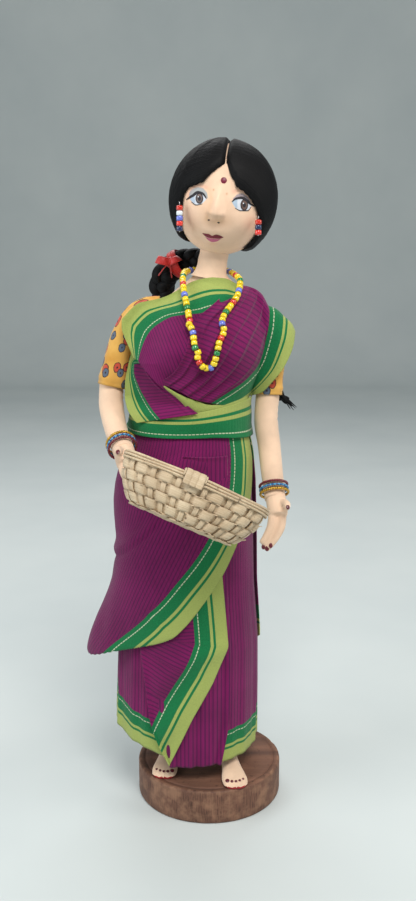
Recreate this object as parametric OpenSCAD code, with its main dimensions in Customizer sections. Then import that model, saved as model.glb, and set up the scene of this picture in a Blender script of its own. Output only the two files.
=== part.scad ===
// Cloth doll of a woman in a sari carrying a basket, on a round wooden base.
// The doll faces -Y. The origin is the centre of the base disc's lower face.
// Left and right are the doll's own: its left hand is on the +X side.

/* [Base] */
// Radius of the turned wooden disc
base_r = 39; // [38:0.5:44]
// Thickness of the disc
base_h = 18.5; // [16:0.5:18.5]
// Depth of the leg wires in the disc
wire_seat = 12.5; // [6:0.5:14]

/* [Armature] */
// Radius of the steel leg and spine wires
wire_r = 1.2; // [0.8:0.1:1.4]
// Radius of the thin arm wires
arm_wire_r = 0.7; // [0.5:0.1:0.8]
// Radial room between a leg wire and its bore
wire_fit = 0.05; // [0.02:0.01:0.1]

/* [Head] */
// Sideways lean of the head and neck, in degrees
head_lean = 9.7; // [6:0.1:11]
// Turn of the face to the doll's right, in degrees
face_turn = 5.5; // [0:0.5:8]
// Half width of the stuffed head
head_r = 24; // [23:0.1:24.2]
// Thickness of the hair
hair_t = 2.3; // [1.5:0.1:2.6]
// Radius of the neck
neck_r = 6.4; // [5.5:0.1:6.6]

/* [Cloth] */
// Thickness of one layer of the sari as it lies
cloth_t = 1; // [0.5:0.1:1.1]
// Lowest point of the inner wrap's hem
hem_z = 29.5; // [29:0.5:31]

/* [Basket] */
// Half length of the rim
basket_a = 35; // [34:0.5:35]
// Half width of the rim
basket_b = 20; // [18:0.5:20]
// Depth from rim to bottom
basket_d = 22; // [20:0.5:24]
// Thickness of the woven wall
basket_t = 1.4; // [1:0.1:1.6]

/* [Beads] */
// Outer radius of a seed bead
bead_r = 1.6; // [1.3:0.05:1.7]
// Distance between neighbouring beads of the necklace
bead_pitch = 2.65; // [2.6:0.05:3]

/* [Hidden] */

skin_c = [0.93, 0.83, 0.70];
purple_c = [0.45, 0.08, 0.33];
green_c = [0.06, 0.45, 0.25];
lime_c = [0.68, 0.75, 0.40];
hair_c = [0.04, 0.04, 0.05];
wood_c = [0.38, 0.24, 0.18];
cane_c = [0.88, 0.80, 0.66];

// Body form by height: centre in x, half width, half depth to the front and to the back.
CX = [[26,-13],[60,-12],[90,-11.5],[120,-12.5],[150,-12],[175,-11.5],[190,-11],[205,-10.5],[218,-9.5],[232,-7],[246,-4.5],[256,-3],[264,-2],[270,-1],[275,0],[279,0.3],[281.5,0.4]];
RA = [[26,37],[60,36.5],[90,36],[120,35],[150,34],[175,32.5],[190,30.5],[205,26.5],[218,25],[232,27],[246,28],[256,26],[264,23.5],[270,21],[275,16.5],[279,10.5],[281.5,7.6]];
RF = [[26,30],[60,31],[90,32],[120,32],[150,31],[175,28.5],[190,26],[205,23],[218,22.5],[232,26],[246,29],[256,25],[264,19.5],[270,15],[275,11.5],[279,8.5],[281.5,7]];
RB = [[26,32],[60,32],[90,32],[120,32],[150,31],[175,30],[190,28],[205,23],[218,20],[232,18.5],[246,18],[256,17],[264,15.5],[270,14],[275,12],[279,9.5],[281.5,7.4]];

function wrap(a) = a - 360 * floor((a + 180) / 360);
function bell(x, w) = exp(-(x / w) * (x / w));
function bust(z, a) = 4 * bell(z - 243, 13) * (bell(wrap(a) + 140, 24) + bell(wrap(a) + 40, 24));
// Point on the body form at height z and angle a, moved out by o.
function KP(z, a, o) = [
  lookup(z, CX) + (lookup(z, RA) + o + bust(z, a)) * cos(a),
  ((sin(a) < 0 ? lookup(z, RF) : lookup(z, RB)) + o + bust(z, a)) * sin(a), z];
// Front of the body form at x, z.
function YF(x, z, o) = -(lookup(z, RF) + o) * sqrt(max(0.02, 1 - pow((x - lookup(z, CX)) / (lookup(z, RA) + o), 2)));

function unit(v) = v / norm(v);
function tangent(p, i) = unit(p[min(i + 1, len(p) - 1)] - p[max(i - 1, 0)]);
// Ring of n points round c, square to d; ru and rv are its two radii, ref sets its turn.
function ring(c, d, ru, rv, n, ref) = let(u = unit(cross(ref, d)), v = cross(d, u))
  [for (i = [0:n-1]) c + u * ru * cos(360 * i / n) + v * rv * sin(360 * i / n)];
function rings(p, r, n, ref) = [for (i = [0:len(p)-1]) ring(p[i], tangent(p, i), r[i], r[i], n, ref)];
function flat_pts(g) = [for (r = g) each r];

// Closed solid through a row of rings, with a fan at each end.
module loft(g) {
  m = len(g); n = len(g[0]);
  pts = concat(flat_pts(g), [mean(g[0]), mean(g[m-1])]);
  fs = concat(
    [for (i = [0:m-2]) for (j = [0:n-1]) let(k = (j + 1) % n) each [
      [i*n+j, (i+1)*n+j, (i+1)*n+k], [i*n+j, (i+1)*n+k, i*n+k]]],
    [for (j = [0:n-1]) [m*n, j, (j+1)%n]],
    [for (j = [0:n-1]) [m*n+1, (m-1)*n+(j+1)%n, (m-1)*n+j]]);
  polyhedron(points = pts, faces = fs, convexity = 8);
}
function mean(r, i = 0, s = [0, 0, 0]) = i == len(r) ? s / len(r) : mean(r, i + 1, s + r[i]);

// Tube with a wall: rings of the outer face and rings of the inner face.
module tube(go, gi) {
  m = len(go); n = len(go[0]); q = m * n;
  fs = [for (i = [0:m-2]) for (j = [0:n-1]) let(k = (j + 1) % n) each [
      [i*n+j, (i+1)*n+j, (i+1)*n+k], [i*n+j, (i+1)*n+k, i*n+k],
      [q+i*n+j, q+(i+1)*n+k, q+(i+1)*n+j], [q+i*n+j, q+i*n+k, q+(i+1)*n+k]]];
  ends = [for (j = [0:n-1]) let(k = (j + 1) % n, t = (m-1)*n) each [
      [j, k, q+k], [j, q+k, q+j], [t+j, q+t+k, t+k], [t+j, q+t+j, q+t+k]]];
  polyhedron(points = concat(flat_pts(go), flat_pts(gi)), faces = concat(fs, ends), convexity = 8);
}

// Sheet with a thickness: two grids of rows, first the outer face, rows upwards.
module sheet(go, gi) {
  m = len(go); n = len(go[0]); q = m * n;
  side = [for (i = [0:m-2]) for (j = [0:n-2]) each [
      [i*n+j, (i+1)*n+j, (i+1)*n+j+1], [i*n+j, (i+1)*n+j+1, i*n+j+1],
      [q+i*n+j, q+(i+1)*n+j+1, q+(i+1)*n+j], [q+i*n+j, q+i*n+j+1, q+(i+1)*n+j+1]]];
  ends = [for (j = [0:n-2]) let(t = (m-1)*n) each [
      [j, j+1, q+j+1], [j, q+j+1, q+j], [t+j, q+t+j+1, t+j+1], [t+j, q+t+j, q+t+j+1]]];
  edges = [for (i = [0:m-2]) let(a = i*n, b = (i+1)*n) each [
      [q+a, q+b, b], [q+a, b, a], [q+a+n-1, b+n-1, q+b+n-1], [q+a+n-1, a+n-1, b+n-1]]];
  polyhedron(points = concat(flat_pts(go), flat_pts(gi)), faces = concat(side, ends, edges), convexity = 8);
}
module skirt(zs, n, o0, o1) {
  tube([for (z = zs) [for (i = [0:n-1]) KP(z, 360*i/n, o1)]],
       [for (z = zs) [for (i = [0:n-1]) KP(z, 360*i/n, o0)]]);
}
module rod(a, b, r, n = 32) {
  d = b - a;
  translate(a) rotate([0, acos(d[2] / norm(d)), atan2(d[1], d[0])]) cylinder(r = r, h = norm(d), $fn = n);
}
module along(a, d) { translate(a) rotate([0, acos(d[2] / norm(d)), atan2(d[1], d[0])]) children(); }

// ---------- base and legs ----------
LEG_L0 = [11, -13, base_h]; LEG_L1 = [-1, -3, 165];
LEG_R0 = [-22, -3, base_h]; LEG_R1 = [-24, -2, 165];
function leg_foot(a, b) = a - unit(b - a) * wire_seat;

module base_disc() color(wood_c) difference() {
  rotate_extrude($fn = 96) polygon([[0,0],[base_r-1,0],[base_r,1],[base_r,base_h-1.5],[base_r-0.5,base_h-0.5],[base_r-1.5,base_h],[0,base_h]]);
  rod(leg_foot(LEG_L0, LEG_L1), LEG_L1, wire_r + wire_fit);
  rod(leg_foot(LEG_R0, LEG_R1), LEG_R1, wire_r + wire_fit);
}
module leg_wire_left() color("silver") rod(leg_foot(LEG_L0, LEG_L1), LEG_L1, wire_r);
module leg_wire_right() color("silver") rod(leg_foot(LEG_R0, LEG_R1), LEG_R1, wire_r);

// Stuffed leg turned round its wire, with the wire's bore.
module leg(a, b) {
  h = norm(b - a);
  along(a, b - a) rotate_extrude($fn = 40) polygon([[wire_r+wire_fit,9],[4.6,9],[4.9,16],[6.4,30],[8.6,48],[9,58],[8,76],[8.6,86],[10.4,110],[11.4,132],[10.5,h-6],[7,h-1.5],[wire_r+wire_fit,h-1.5]]);
}
module leg_left() color(skin_c) leg(LEG_L0, LEG_L1);
module leg_right() color(skin_c) leg(LEG_R0, LEG_R1);

// Flat-soled foot: heel at h, toes t further on, turned out by w degrees.
module foot(a, w) difference() {
  translate([a[0], a[1], base_h]) rotate([0, 0, w]) loft([for (k = [
      // distance to the toes, half width, height
      [-6.5,1.4,3.4],[-5.4,3.3,6],[-2,4.4,8.3],[2.5,4.7,8.2],[8,5.2,7],[13,6.2,6],[17,6.7,5],[20.5,6.3,4],[22.5,4.6,2.6]])
      [for (j = [0:15]) let(t = 360*j/16) [k[1]*cos(t), -k[0], max(0, k[2]*0.42 + k[2]*0.58*sin(t))]]]);
  rod(leg_foot(LEG_L0, LEG_L1), LEG_L1, wire_r + wire_fit);
  rod(leg_foot(LEG_R0, LEG_R1), LEG_R1, wire_r + wire_fit);
}
module foot_left() color(skin_c) foot(LEG_L0, 8);
module foot_right() color(skin_c) foot(LEG_R0, -6);

// ---------- trunk ----------
SPINE = [0.4, -1, 280.5];
module spine_wire() color("silver") {
  rod([SPINE[0], SPINE[1], 172], SPINE, wire_r);
  translate(SPINE) sphere(r = wire_r, $fn = 32);
  translate(SPINE) rotate([0, head_lean, 0]) cylinder(r = wire_r, h = 34, $fn = 32);
}
module torso() color(skin_c) {
  zs = [168, 176, 190, 204, 211, 218, 227, 236, 246, 256, 264, 270, 275, 279, 281.5];
  tube([for (z = zs) [for (i = [0:31]) KP(z, 360*i/32, z < 170 ? -9 : z > 278 ? -0.2 : -1.9)]],
       [for (z = zs) [for (i = [0:31]) [SPINE[0] + 1.7*cos(360*i/32), SPINE[1] + 1.7*sin(360*i/32), z]]]);
}
module at_neck() { translate(SPINE) rotate([0, head_lean, 0]) children(); }
module neck() color(skin_c) at_neck() difference() {
  rotate_extrude($fn = 48) polygon([[0,2.4],[neck_r+0.5,2.4],[neck_r,5],[neck_r-0.3,12],[neck_r-0.6,15.5],[0,15.5]]);
  cylinder(r = wire_r + wire_fit, h = 60, center = true, $fn = 32);
}
module bodice() color([0.85, 0.62, 0.25]) skirt([222, 230, 238, 246, 254, 262, 268, 273, 276], 32, -1.5, -0.2);

// ---------- head ----------
HC = [0, 0, 38.2];
HH = 26.7;
function head_pt(e, a, o) = HC + [-(head_r+o)*cos(e)*sin(a), -(head_r+o)*cos(e)*cos(a), (HH+o)*sin(e)];
module at_head() { at_neck() rotate([0, 0, -face_turn]) children(); }
module head() color(skin_c) at_head() difference() {
  union() {
    rotate_extrude($fn = 64) polygon(concat([[0, HC[2]-HH]],
      [for (t = [-85:10:85]) [head_r*cos(t), HC[2] + HH*sin(t)]], [[0, HC[2]+HH]]));
    // padded nose
    translate([0, -21.5, 32.5]) rotate([78, 0, 0]) cylinder(r1 = 4.6, r2 = 1, h = 7.5, $fn = 32);
  }
  translate([0, 0, 5]) cylinder(r = neck_r + 0.4, h = 12, $fn = 48);
  cylinder(r = wire_r + 0.3, h = 36, $fn = 32);
}
// Lower edge of the hair by angle from the parting.
HAIRLINE = [[0,38],[15,34],[30,24],[42,8],[52,-10],[60,-36],[70,-50],[110,-52],[140,-48],[180,-44]];
module hair_half() {
  as = [0, 8, 16, 25, 34, 43, 52, 60, 68, 80, 95, 110, 125, 140, 155, 168, 180];
  function hp(a, t, o) = let(e = lookup(a, HAIRLINE) + (88 - lookup(a, HAIRLINE)) * t) head_pt(e, a, o) - [0.35, 0, 0];
  sheet([for (t = [0:0.125:1]) [for (k = [len(as)-1:-1:0]) hp(as[k], t, 0.2 + hair_t)]],
        [for (t = [0:0.125:1]) [for (k = [len(as)-1:-1:0]) hp(as[k], t, 0.65)]]);
}
module hair_right() color(hair_c) at_head() hair_half();
module hair_left() color(hair_c) at_head() mirror([1, 0, 0]) hair_half();
module bindi() color([0.45, 0.05, 0.1]) at_head() translate(head_pt(19, 0, 0.1)) rotate([71, 0, 0]) cylinder(r = 1.7, h = 0.5, $fn = 32);

BRAID = [[-3,12.5,290],[-12,17,288.5],[-20,20,284],[-25,24,276],[-22,28,264],[-13,30.5,252],[0,32,242],[13,31.5,233],[26,29,225],[36,25,218],[42,22.5,214]];
BRAID_R = [4.3,5.5,6.4,6.7,6.5,6.3,6,5.6,5,3.8,2];
module braid() color(hair_c) loft(rings(BRAID, BRAID_R, 14, [0, 1, 0.2]));
module ribbon() color([0.75, 0.08, 0.08]) {
  p = [[-14,17.8,287.7],[-16,18.5,286.6],[-18,19.2,285.4]];
  tube(rings(p, [7.9,8.2,7.9], 20, [0, 1, 0.2]), rings(p, [7.1,7.1,7.1], 20, [0, 1, 0.2]));
}

// ---------- beads ----------
module bead(r = bead_r) rotate_extrude($fn = 20) polygon([[0.45,-0.95],[r*0.75,-1.1],[r,-0.5],[r,0.5],[r*0.75,1.1],[0.45,0.95]]);
EAR_R = [-14.2, -19.5, 315.1];
EAR_L = [23.3, -20.5, 308.5];
module earring(p, n) translate(p) {
  for (i = [0:n-1]) translate([0, 0, -1.6 - 2.4*i]) bead();
  translate([0, 0, -2.4*n - 1.2]) cylinder(r = 0.3, h = 2.4*n + 1.2, $fn = 16);
}
module earring_right() color([0.75, 0.1, 0.12]) earring(EAR_R, 5);
module earring_left() color([0.75, 0.1, 0.12]) earring(EAR_L, 3);

NECK_P = [[-12.6,-1,282.6],[-13.1,-8.7,279.6],[-12.5,-16.2,275],[-10.4,-23.8,265.5],[-8.3,-31,255.6],[-6.2,-34.2,247.4],[-4.6,-33.7,242.2],[-2,-33,239.6],[1,-32.6,239.2],[3.2,-34,243],[5,-32.4,251.4],[6.6,-27,261.4],[10,-22,267],[14,-17.2,273],[15.2,-9.8,278.8],[13.4,-3,281.2],[9,6,283.4],[3,9.6,284],[-4,9.4,284],[-9.5,6,283.6]];
// Position at distance s along the closed row of points.
function seg(i) = norm(NECK_P[(i+1) % len(NECK_P)] - NECK_P[i]);
function walk(s, i = 0) = i >= len(NECK_P) - 1 || s <= seg(i) ? [i, min(1, s / seg(i))] : walk(s - seg(i), i + 1);
function total(i = 0) = i == len(NECK_P) ? 0 : seg(i) + total(i + 1);
BEADS = floor(total() / bead_pitch);
STEP = total() / BEADS;
function np(s) = let(w = walk(s)) NECK_P[w[0]] + (NECK_P[(w[0]+1) % len(NECK_P)] - NECK_P[w[0]]) * w[1];
function bead_at(i) = np((((i % BEADS) + BEADS) % BEADS) * STEP);
module necklace_beads() color([0.85, 0.75, 0.15]) for (i = [0:BEADS-1])
  along(bead_at(i), bead_at(i+1) - bead_at(i-1)) bead();
// Thread shown where it bridges from bead to bead.
module necklace_thread() color([0.95, 0.95, 0.9]) for (i = [0:BEADS-1])
  rod(bead_at(i) + unit(bead_at(i+1) - bead_at(i)) * 0.2, bead_at(i+1) - unit(bead_at(i+1) - bead_at(i)) * 0.2, 0.12, 16);

// ---------- arms ----------
SHZ = 259;
ARM_R = [[-37,0,260],[-41,0,252],[-46,-0.5,240],[-50,-1.5,227],[-50.2,-4,217.5],[-48.6,-10,210.2],[-45.8,-20,203.8],[-41.6,-32,197.4]];
ARM_RR = [6.2,6.5,6.4,6.2,6.3,6,5.6,5.5];
ARM_L = [[33.5,0,259],[32.6,0,249],[31.5,-0.5,237],[30,-1.6,222],[29.2,-4.5,208],[30.6,-9.5,196],[31.8,-16.5,183],[32.9,-24.5,171.8]];
ARM_RL = [5.8,6.1,6,6,6.1,5.8,5.5,5.3];
module arm(p, r) tube(rings(p, r, 20, [1, 0, 0]), rings(p, [for (x = r) 1.1], 20, [1, 0, 0]));
module arm_right() color(skin_c) arm(ARM_R, ARM_RR);
module arm_left() color(skin_c) arm(ARM_L, ARM_RL);
module arm_wire(p) loft(rings(p, [for (x = p) arm_wire_r], 12, [1, 0, 0]));
module arm_wire_right() color("silver") arm_wire(ARM_R);
module arm_wire_left() color("silver") arm_wire(ARM_L);
module sleeve(p, r0, r1) tube(rings(p, r1, 24, [1, 0, 0]), rings(p, r0, 24, [1, 0, 0]));
module sleeve_right() color([0.85, 0.62, 0.25]) sleeve([for (i = [0:3]) ARM_R[i]], [7.2,7,6.8,6.6], [9,8.4,7.8,7.5]);
module sleeve_left() color([0.85, 0.62, 0.25]) sleeve([ARM_L[0], ARM_L[1], ARM_L[2], ARM_L[3]], [6.4,6.5,6.4,6.4], [7.4,7.4,7.1,7]);

// Mitten hand: a flattened palm and fingers, and a thumb beside it.
module hand(p, ru, rv, ref, tp, tr) {
  loft([for (i = [0:len(p)-1]) ring(p[i], tangent(p, i), ru[i], rv[i], 16, ref)]);
  loft(rings(tp, tr, 10, ref));
}
module hand_right() color(skin_c) hand(
  [[-41.2,-33.4,196.6],[-40.6,-36,194.6],[-39.6,-40,191.8],[-38.2,-44,188.8],[-36.4,-47,185.6],[-35,-48.5,183.6]],
  [4.6,4.4,4.2,3.8,3,1.4], [4.4,5,5,4.6,3.6,1.6], [1, 0, 0],
  [[-42.6,-37,197.4],[-43.4,-40.5,199.6],[-43.2,-44,200.4],[-42.6,-46.5,200]], [1.4,2.2,2.1,1]);
module hand_left() color(skin_c) hand(
  [[33.3,-25.6,170.4],[34,-28,167.6],[34.3,-30.5,164.4],[33,-33,160.2],[30,-35,154.6],[26.8,-36,150]],
  [4.2,4,3.6,3.2,2.6,1.2], [4.4,5,5,4.6,3.4,1.4], [1, 0, 0],
  [[36.2,-28.4,168.6],[37.6,-32,170.6],[38.1,-35.6,171.2],[37.8,-38,170.8]], [1.3,2.1,2,1]);

// Bangles lie side by side round the forearm.
module bangle(p, i, c) {
  a = p[len(p)-2]; b = p[len(p)-1]; d = unit(b - a);
  color(c) along(b - d * (3.2 + 2.1 * i), d) rotate_extrude($fn = 48) translate([6.9, 0]) circle(r = 0.75, $fn = 20);
}
module bangle_gold_right() bangle(ARM_R, 2, [0.8, 0.6, 0.2]);
module bangle_blue_right() bangle(ARM_R, 1, [0.1, 0.3, 0.6]);
module bangle_maroon_right() bangle(ARM_R, 0, [0.5, 0.05, 0.1]);
module bangle_gold_left() bangle(ARM_L, 0, [0.8, 0.6, 0.2]);
module bangle_blue_left() bangle(ARM_L, 1, [0.1, 0.3, 0.6]);
module bangle_maroon_left() bangle(ARM_L, 2, [0.5, 0.05, 0.1]);

// ---------- basket ----------
module at_basket() { translate([-5.5, -57, 188.8]) rotate([-18, 24, 0]) children(); }
// Share of the rim size at share t of the depth.
function wall(t) = 1 - 0.30 * pow(t, 2.2);
function oval(a, b, z, n) = [for (i = [0:n-1]) [a*cos(360*i/n), b*sin(360*i/n), z]];
module basket_body() color(cane_c) at_basket() {
  t = basket_t; d = basket_d;
  loft(concat(
    [for (k = [0.45, 0.97]) oval(basket_a*k*wall(1), basket_b*k*wall(1), -d, 40)],
    [for (k = [0.94, 0.8, 0.6, 0.4, 0.16, 0]) oval(basket_a*wall(k), basket_b*wall(k), -d*k, 40)],
    [for (k = [0, 0.16, 0.4, 0.6, 0.8, 0.92]) oval(basket_a*wall(k) - t, basket_b*wall(k) - t, -d*k + (k > 0.9 ? 0 : 0), 40)],
    [oval((basket_a - t)*0.42, (basket_b - t)*0.42, -d + t, 40)]));
}
module oval_band(a, b, t, z0, z1) tube([oval(a, b, z0, 40), oval(a, b, z1, 40)], [oval(a-t, b-t, z0, 40), oval(a-t, b-t, z1, 40)]);
module basket_outer_hoop() color(cane_c) at_basket() oval_band(basket_a + 1.5, basket_b + 1.5, 1.3, -3.2, 0.4);
module basket_inner_hoop() color(cane_c) at_basket() oval_band(basket_a - basket_t - 0.3, basket_b - basket_t - 0.3, 1.2, -2.6, 0.4);
module basket_binding() color(cane_c) at_basket() translate([-3.5, -basket_b, 0]) {
  translate([-5, -3, -4.6]) cube([10, 1.2, 6.4]);
  translate([-5, -1.9, 0.6]) cube([10, 6.9, 1.2]);
  translate([-5, 4.3, -3]) cube([10, 1, 4.8]);
}

// ---------- sari ----------
module petticoat() color(purple_c) skirt([50, 70, 90, 110, 130, 150, 168, 180, 192, 205, 216], 32, -1.3, -0.2);
// Each ring of the inner wrap runs level at the waist and follows the sloping hem below.
module sari_inner_wrap() {
  function hem(a) = hem_z + 9 - 9*cos(a + 45);
  function ip(t, a, o) = let(z = hem(a) + (216 - hem(a))*t) KP(z, a, o);
  ts = [0, 0.1, 0.22, 0.36, 0.5, 0.62, 0.74, 0.84, 0.93, 1];
  color(purple_c) tube([for (t = ts) [for (i = [0:35]) ip(t, 10*i, 0.2 + cloth_t)]], [for (t = ts) [for (i = [0:35]) ip(t, 10*i, 0.2)]]);
}
// Gathered front panel that hangs between the two wraps.
PL = [[30,-19],[54,-29],[79,-16],[90,-9],[115,-8],[140,-8]];
PR = [[30,7],[53,10],[96,10],[140,8]];
module sari_front_pleats() {
  zs = [30, 42, 54, 66, 79, 90, 102, 115, 128, 140];
  function pp(z, s, o) = let(x = lookup(z, PL)*(1-s) + lookup(z, PR)*s) [x, YF(x, z, 1.6 + o), z];
  color(green_c) sheet([for (z = zs) [for (j = [0:12]) pp(z, j/12, cloth_t)]], [for (z = zs) [for (j = [0:12]) pp(z, j/12, 0)]]);
}
// Outer wrap: its lower edge climbs from the back round the doll's right side to the left hip.
LOW = [[-330,80],[-300,78],[-270,76],[-230,74],[-200,74],[-180,75],[-150,80],[-125,92],[-110,98],[-90,108],[-75,122],[-60,133],[-45,148]];
module sari_outer_wrap() {
  function flare(z, a) = 11 * bell(a + 178, 20) * max(0, min(1, (112 - z)/36));
  function op(t, a, o) = let(z0 = lookup(a, LOW), z = z0 + (205 - z0)*t) KP(z, a, 3.1 + o + flare(z, a));
  as = [for (i = [0:38]) -330 + 7.5*i];
  ts = [0, 0.08, 0.18, 0.3, 0.45, 0.6, 0.75, 0.88, 1];
  color(purple_c) sheet([for (t = ts) [for (a = as) op(t, a, cloth_t)]], [for (t = ts) [for (a = as) op(t, a, 0)]]);
}
module sari_waist_band() color(green_c) skirt([202, 206, 211, 216, 219], 36, 4.5, 4.5 + cloth_t);

// Chest: the sheet runs from under the doll's right arm across the bust to the left shoulder.
ZUP = [[-43,257],[-37,262],[-28,267.5],[-20,272],[-14.5,275],[-8,277],[1,278.5],[8,277.5],[13,275.5],[18,272],[23,266]];
AL = [[219,31],[232,37],[246,39.5],[257,39.5],[263,34],[268,27.5],[272,21],[276,16.5],[279,11]];
YMIN = [[219,-12],[257,-13],[264,-9],[270,-3],[280,-0.5]];
module sari_chest() {
  function yc(x, z, o) = let(c = lookup(z, CX), w = x < c ? lookup(z, AL) : lookup(z, RA) + 2 + 2.5*bell(z - 243, 16))
    min(lookup(z, YMIN), -(lookup(z, RF) + 2.2) * pow(max(0.001, 1 - pow(abs(x - c)/w, 2.2)), 1/2.2)) - o;
  function cp(t, s, o) = let(x0 = -42 + 64.5*s, z = 220 + (lookup(x0, ZUP) - 220)*t, c = lookup(z, CX),
    x = max(c - lookup(z, AL) + 0.5, min(c + lookup(z, RA) + 1.5, x0*(1 - 0.0*t)))) [x0, yc(x, z, o), z];
  color(green_c) sheet([for (t = [0:0.1:1]) [for (j = [0:20]) cp(t, j/20, cloth_t)]], [for (t = [0:0.1:1]) [for (j = [0:20]) cp(t, j/20, 0)]]);
}
// Shoulder: the sheet drapes over the left sleeve and moves with the arm.
module sari_shoulder() {
  zs = [238, 244, 250, 255, 259, 262, 265, 266.6];
  function sx(z) = lookup(z, [[224, 30.3],[237, 31.5],[249, 32.6],[259, 33.5]]);
  function sr(z, o) = z <= 259 ? 8 + o : sqrt(pow(8 + o, 2) - pow(z - 259, 2));
  function sp(z, a, o) = [sx(z) + sr(z, o)*cos(a), sr(z, o)*sin(a) - (259 - min(z, 259))*0.03, z];
  color(lime_c) sheet([for (z = zs) [for (a = [-110:15:100]) sp(z, a, cloth_t)]], [for (z = zs) [for (a = [-110:15:100]) sp(z, a, 0)]]);
}
// Back: the loose end hangs from the left shoulder over the hip.
module sari_back_fall() {
  zs = [150, 165, 180, 195, 208, 220, 232, 244, 255, 263, 269];
  function off(z) = lookup(z, [[150,5.4],[195,6.2],[208,6.4],[222,6.2],[236,2.5],[269,1]]);
  function bp(z, a, o) = KP(z, a, off(z) + o);
  color(purple_c) sheet([for (z = zs) [for (a = [24:5:74]) bp(z, a, cloth_t)]], [for (z = zs) [for (a = [24:5:74]) bp(z, a, 0)]]);
}

base_disc();
leg_wire_left();
leg_wire_right();
spine_wire();
foot_left();
foot_right();
leg_left();
leg_right();
torso();
neck();
bodice();
petticoat();
sari_inner_wrap();
sari_outer_wrap();
sari_front_pleats();
sari_waist_band();
sari_chest();
sari_shoulder();
sari_back_fall();
head();
hair_left();
hair_right();
bindi();
braid();
ribbon();
earring_left();
earring_right();
necklace_beads();
necklace_thread();
arm_left();
arm_right();
arm_wire_left();
arm_wire_right();
sleeve_left();
sleeve_right();
hand_left();
hand_right();
bangle_gold_left();
bangle_blue_left();
bangle_maroon_left();
bangle_gold_right();
bangle_blue_right();
bangle_maroon_right();
basket_body();
basket_outer_hoop();
basket_inner_hoop();
basket_binding();
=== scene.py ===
import math
import bpy
import bmesh
import numpy as np
from mathutils import Matrix, Vector


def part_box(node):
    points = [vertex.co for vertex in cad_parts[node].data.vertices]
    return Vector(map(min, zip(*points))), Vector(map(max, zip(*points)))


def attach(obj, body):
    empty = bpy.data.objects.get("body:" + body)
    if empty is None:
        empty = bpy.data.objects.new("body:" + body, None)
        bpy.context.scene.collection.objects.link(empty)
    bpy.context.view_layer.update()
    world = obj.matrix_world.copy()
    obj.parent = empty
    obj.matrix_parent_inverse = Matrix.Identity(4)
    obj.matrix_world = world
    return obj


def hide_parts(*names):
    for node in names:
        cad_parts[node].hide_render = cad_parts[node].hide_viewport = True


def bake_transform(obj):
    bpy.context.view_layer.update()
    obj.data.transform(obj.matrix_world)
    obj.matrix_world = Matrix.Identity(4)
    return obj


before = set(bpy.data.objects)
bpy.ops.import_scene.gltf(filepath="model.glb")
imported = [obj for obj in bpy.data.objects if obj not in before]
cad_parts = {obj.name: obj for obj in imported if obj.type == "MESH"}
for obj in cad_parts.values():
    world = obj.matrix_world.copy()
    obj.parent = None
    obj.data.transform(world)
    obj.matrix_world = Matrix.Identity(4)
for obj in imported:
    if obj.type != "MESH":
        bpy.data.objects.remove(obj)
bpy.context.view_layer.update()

RNG = np.random.default_rng(7)
COL = bpy.context.scene.collection
BASE_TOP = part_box("base_disc")[1].z * 1000.0

# ------------------------------------------------------------------ form of the body (mm)
CX = [[26, -13], [60, -12], [90, -11.5], [120, -12.5], [150, -12], [175, -11.5], [190, -11], [205, -10.5], [218, -9.5], [232, -7], [246, -4.5], [256, -3], [264, -2], [270, -1], [275, 0], [279, 0.3], [281.5, 0.4]]
RA = [[26, 37], [60, 36.5], [90, 36], [120, 35], [150, 34], [175, 32.5], [190, 30.5], [205, 26.5], [218, 25], [232, 27], [246, 28], [256, 26], [264, 23.5], [270, 21], [275, 16.5], [279, 10.5], [281.5, 7.6]]
RF = [[26, 30], [60, 31], [90, 32], [120, 32], [150, 31], [175, 28.5], [190, 26], [205, 23], [218, 22.5], [232, 26], [246, 29], [256, 25], [264, 19.5], [270, 15], [275, 11.5], [279, 8.5], [281.5, 7]]
RB = [[26, 32], [60, 32], [90, 32], [120, 32], [150, 31], [175, 30], [190, 28], [205, 23], [218, 20], [232, 18.5], [246, 18], [256, 17], [264, 15.5], [270, 14], [275, 12], [279, 9.5], [281.5, 7.4]]


def smooth_table(tbl, sig):
    zs, vs = [t[0] for t in tbl], [t[1] for t in tbl]
    g = np.arange(zs[0] - 30, zs[-1] + 30.01, 0.5)
    y = np.interp(g, zs, vs)
    k = np.exp(-0.5 * (np.arange(-6 * sig, 6 * sig + 1) * 0.5 / sig) ** 2)
    k /= k.sum()
    return g, np.convolve(np.pad(y, len(k) // 2, mode="edge"), k, mode="valid")


T = {n: smooth_table(t, 2) for n, t in (("cx", CX), ("ra", RA), ("rf", RF), ("rb", RB))}


def tab(n, z):
    return np.interp(z, T[n][0], T[n][1])


def wrapdeg(a):
    return (np.asarray(a, float) + 180.0) % 360.0 - 180.0


def bell(x, w):
    return np.exp(-(x / w) ** 2)


def bust(z, a):
    return 3.0 * bell(z - 243, 13) * (bell(wrapdeg(a) + 140, 24) + bell(wrapdeg(a) + 40, 24))


def KP(z, a, o=0.0):
    """Points on the body form at height z and angle a (degrees, -90 is the front), moved out by o."""
    z, a, o = np.broadcast_arrays(np.asarray(z, float), np.asarray(a, float), np.asarray(o, float))
    r = np.radians(a)
    b = bust(z, a)
    bb = np.where(np.sin(r) < 0, tab("rf", z), tab("rb", z))
    return np.stack([tab("cx", z) + (tab("ra", z) + o + b) * np.cos(r), (bb + o + b) * np.sin(r), z], -1)


def breasts(x, z):
    return 3.2 * (np.exp(-((x + 22) ** 2 / 130 + (z - 244) ** 2 / 190)) + np.exp(-((x - 13) ** 2 / 110 + (z - 244) ** 2 / 190)))


def YF(x, z, o=0.0):
    """Front of the body at x, z."""
    q = 1 - ((x - tab("cx", z)) / (tab("ra", z) + o)) ** 2
    return -(tab("rf", z) + o) * np.sqrt(np.clip(q, 0.01, 1)) - breasts(x, z)


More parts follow.
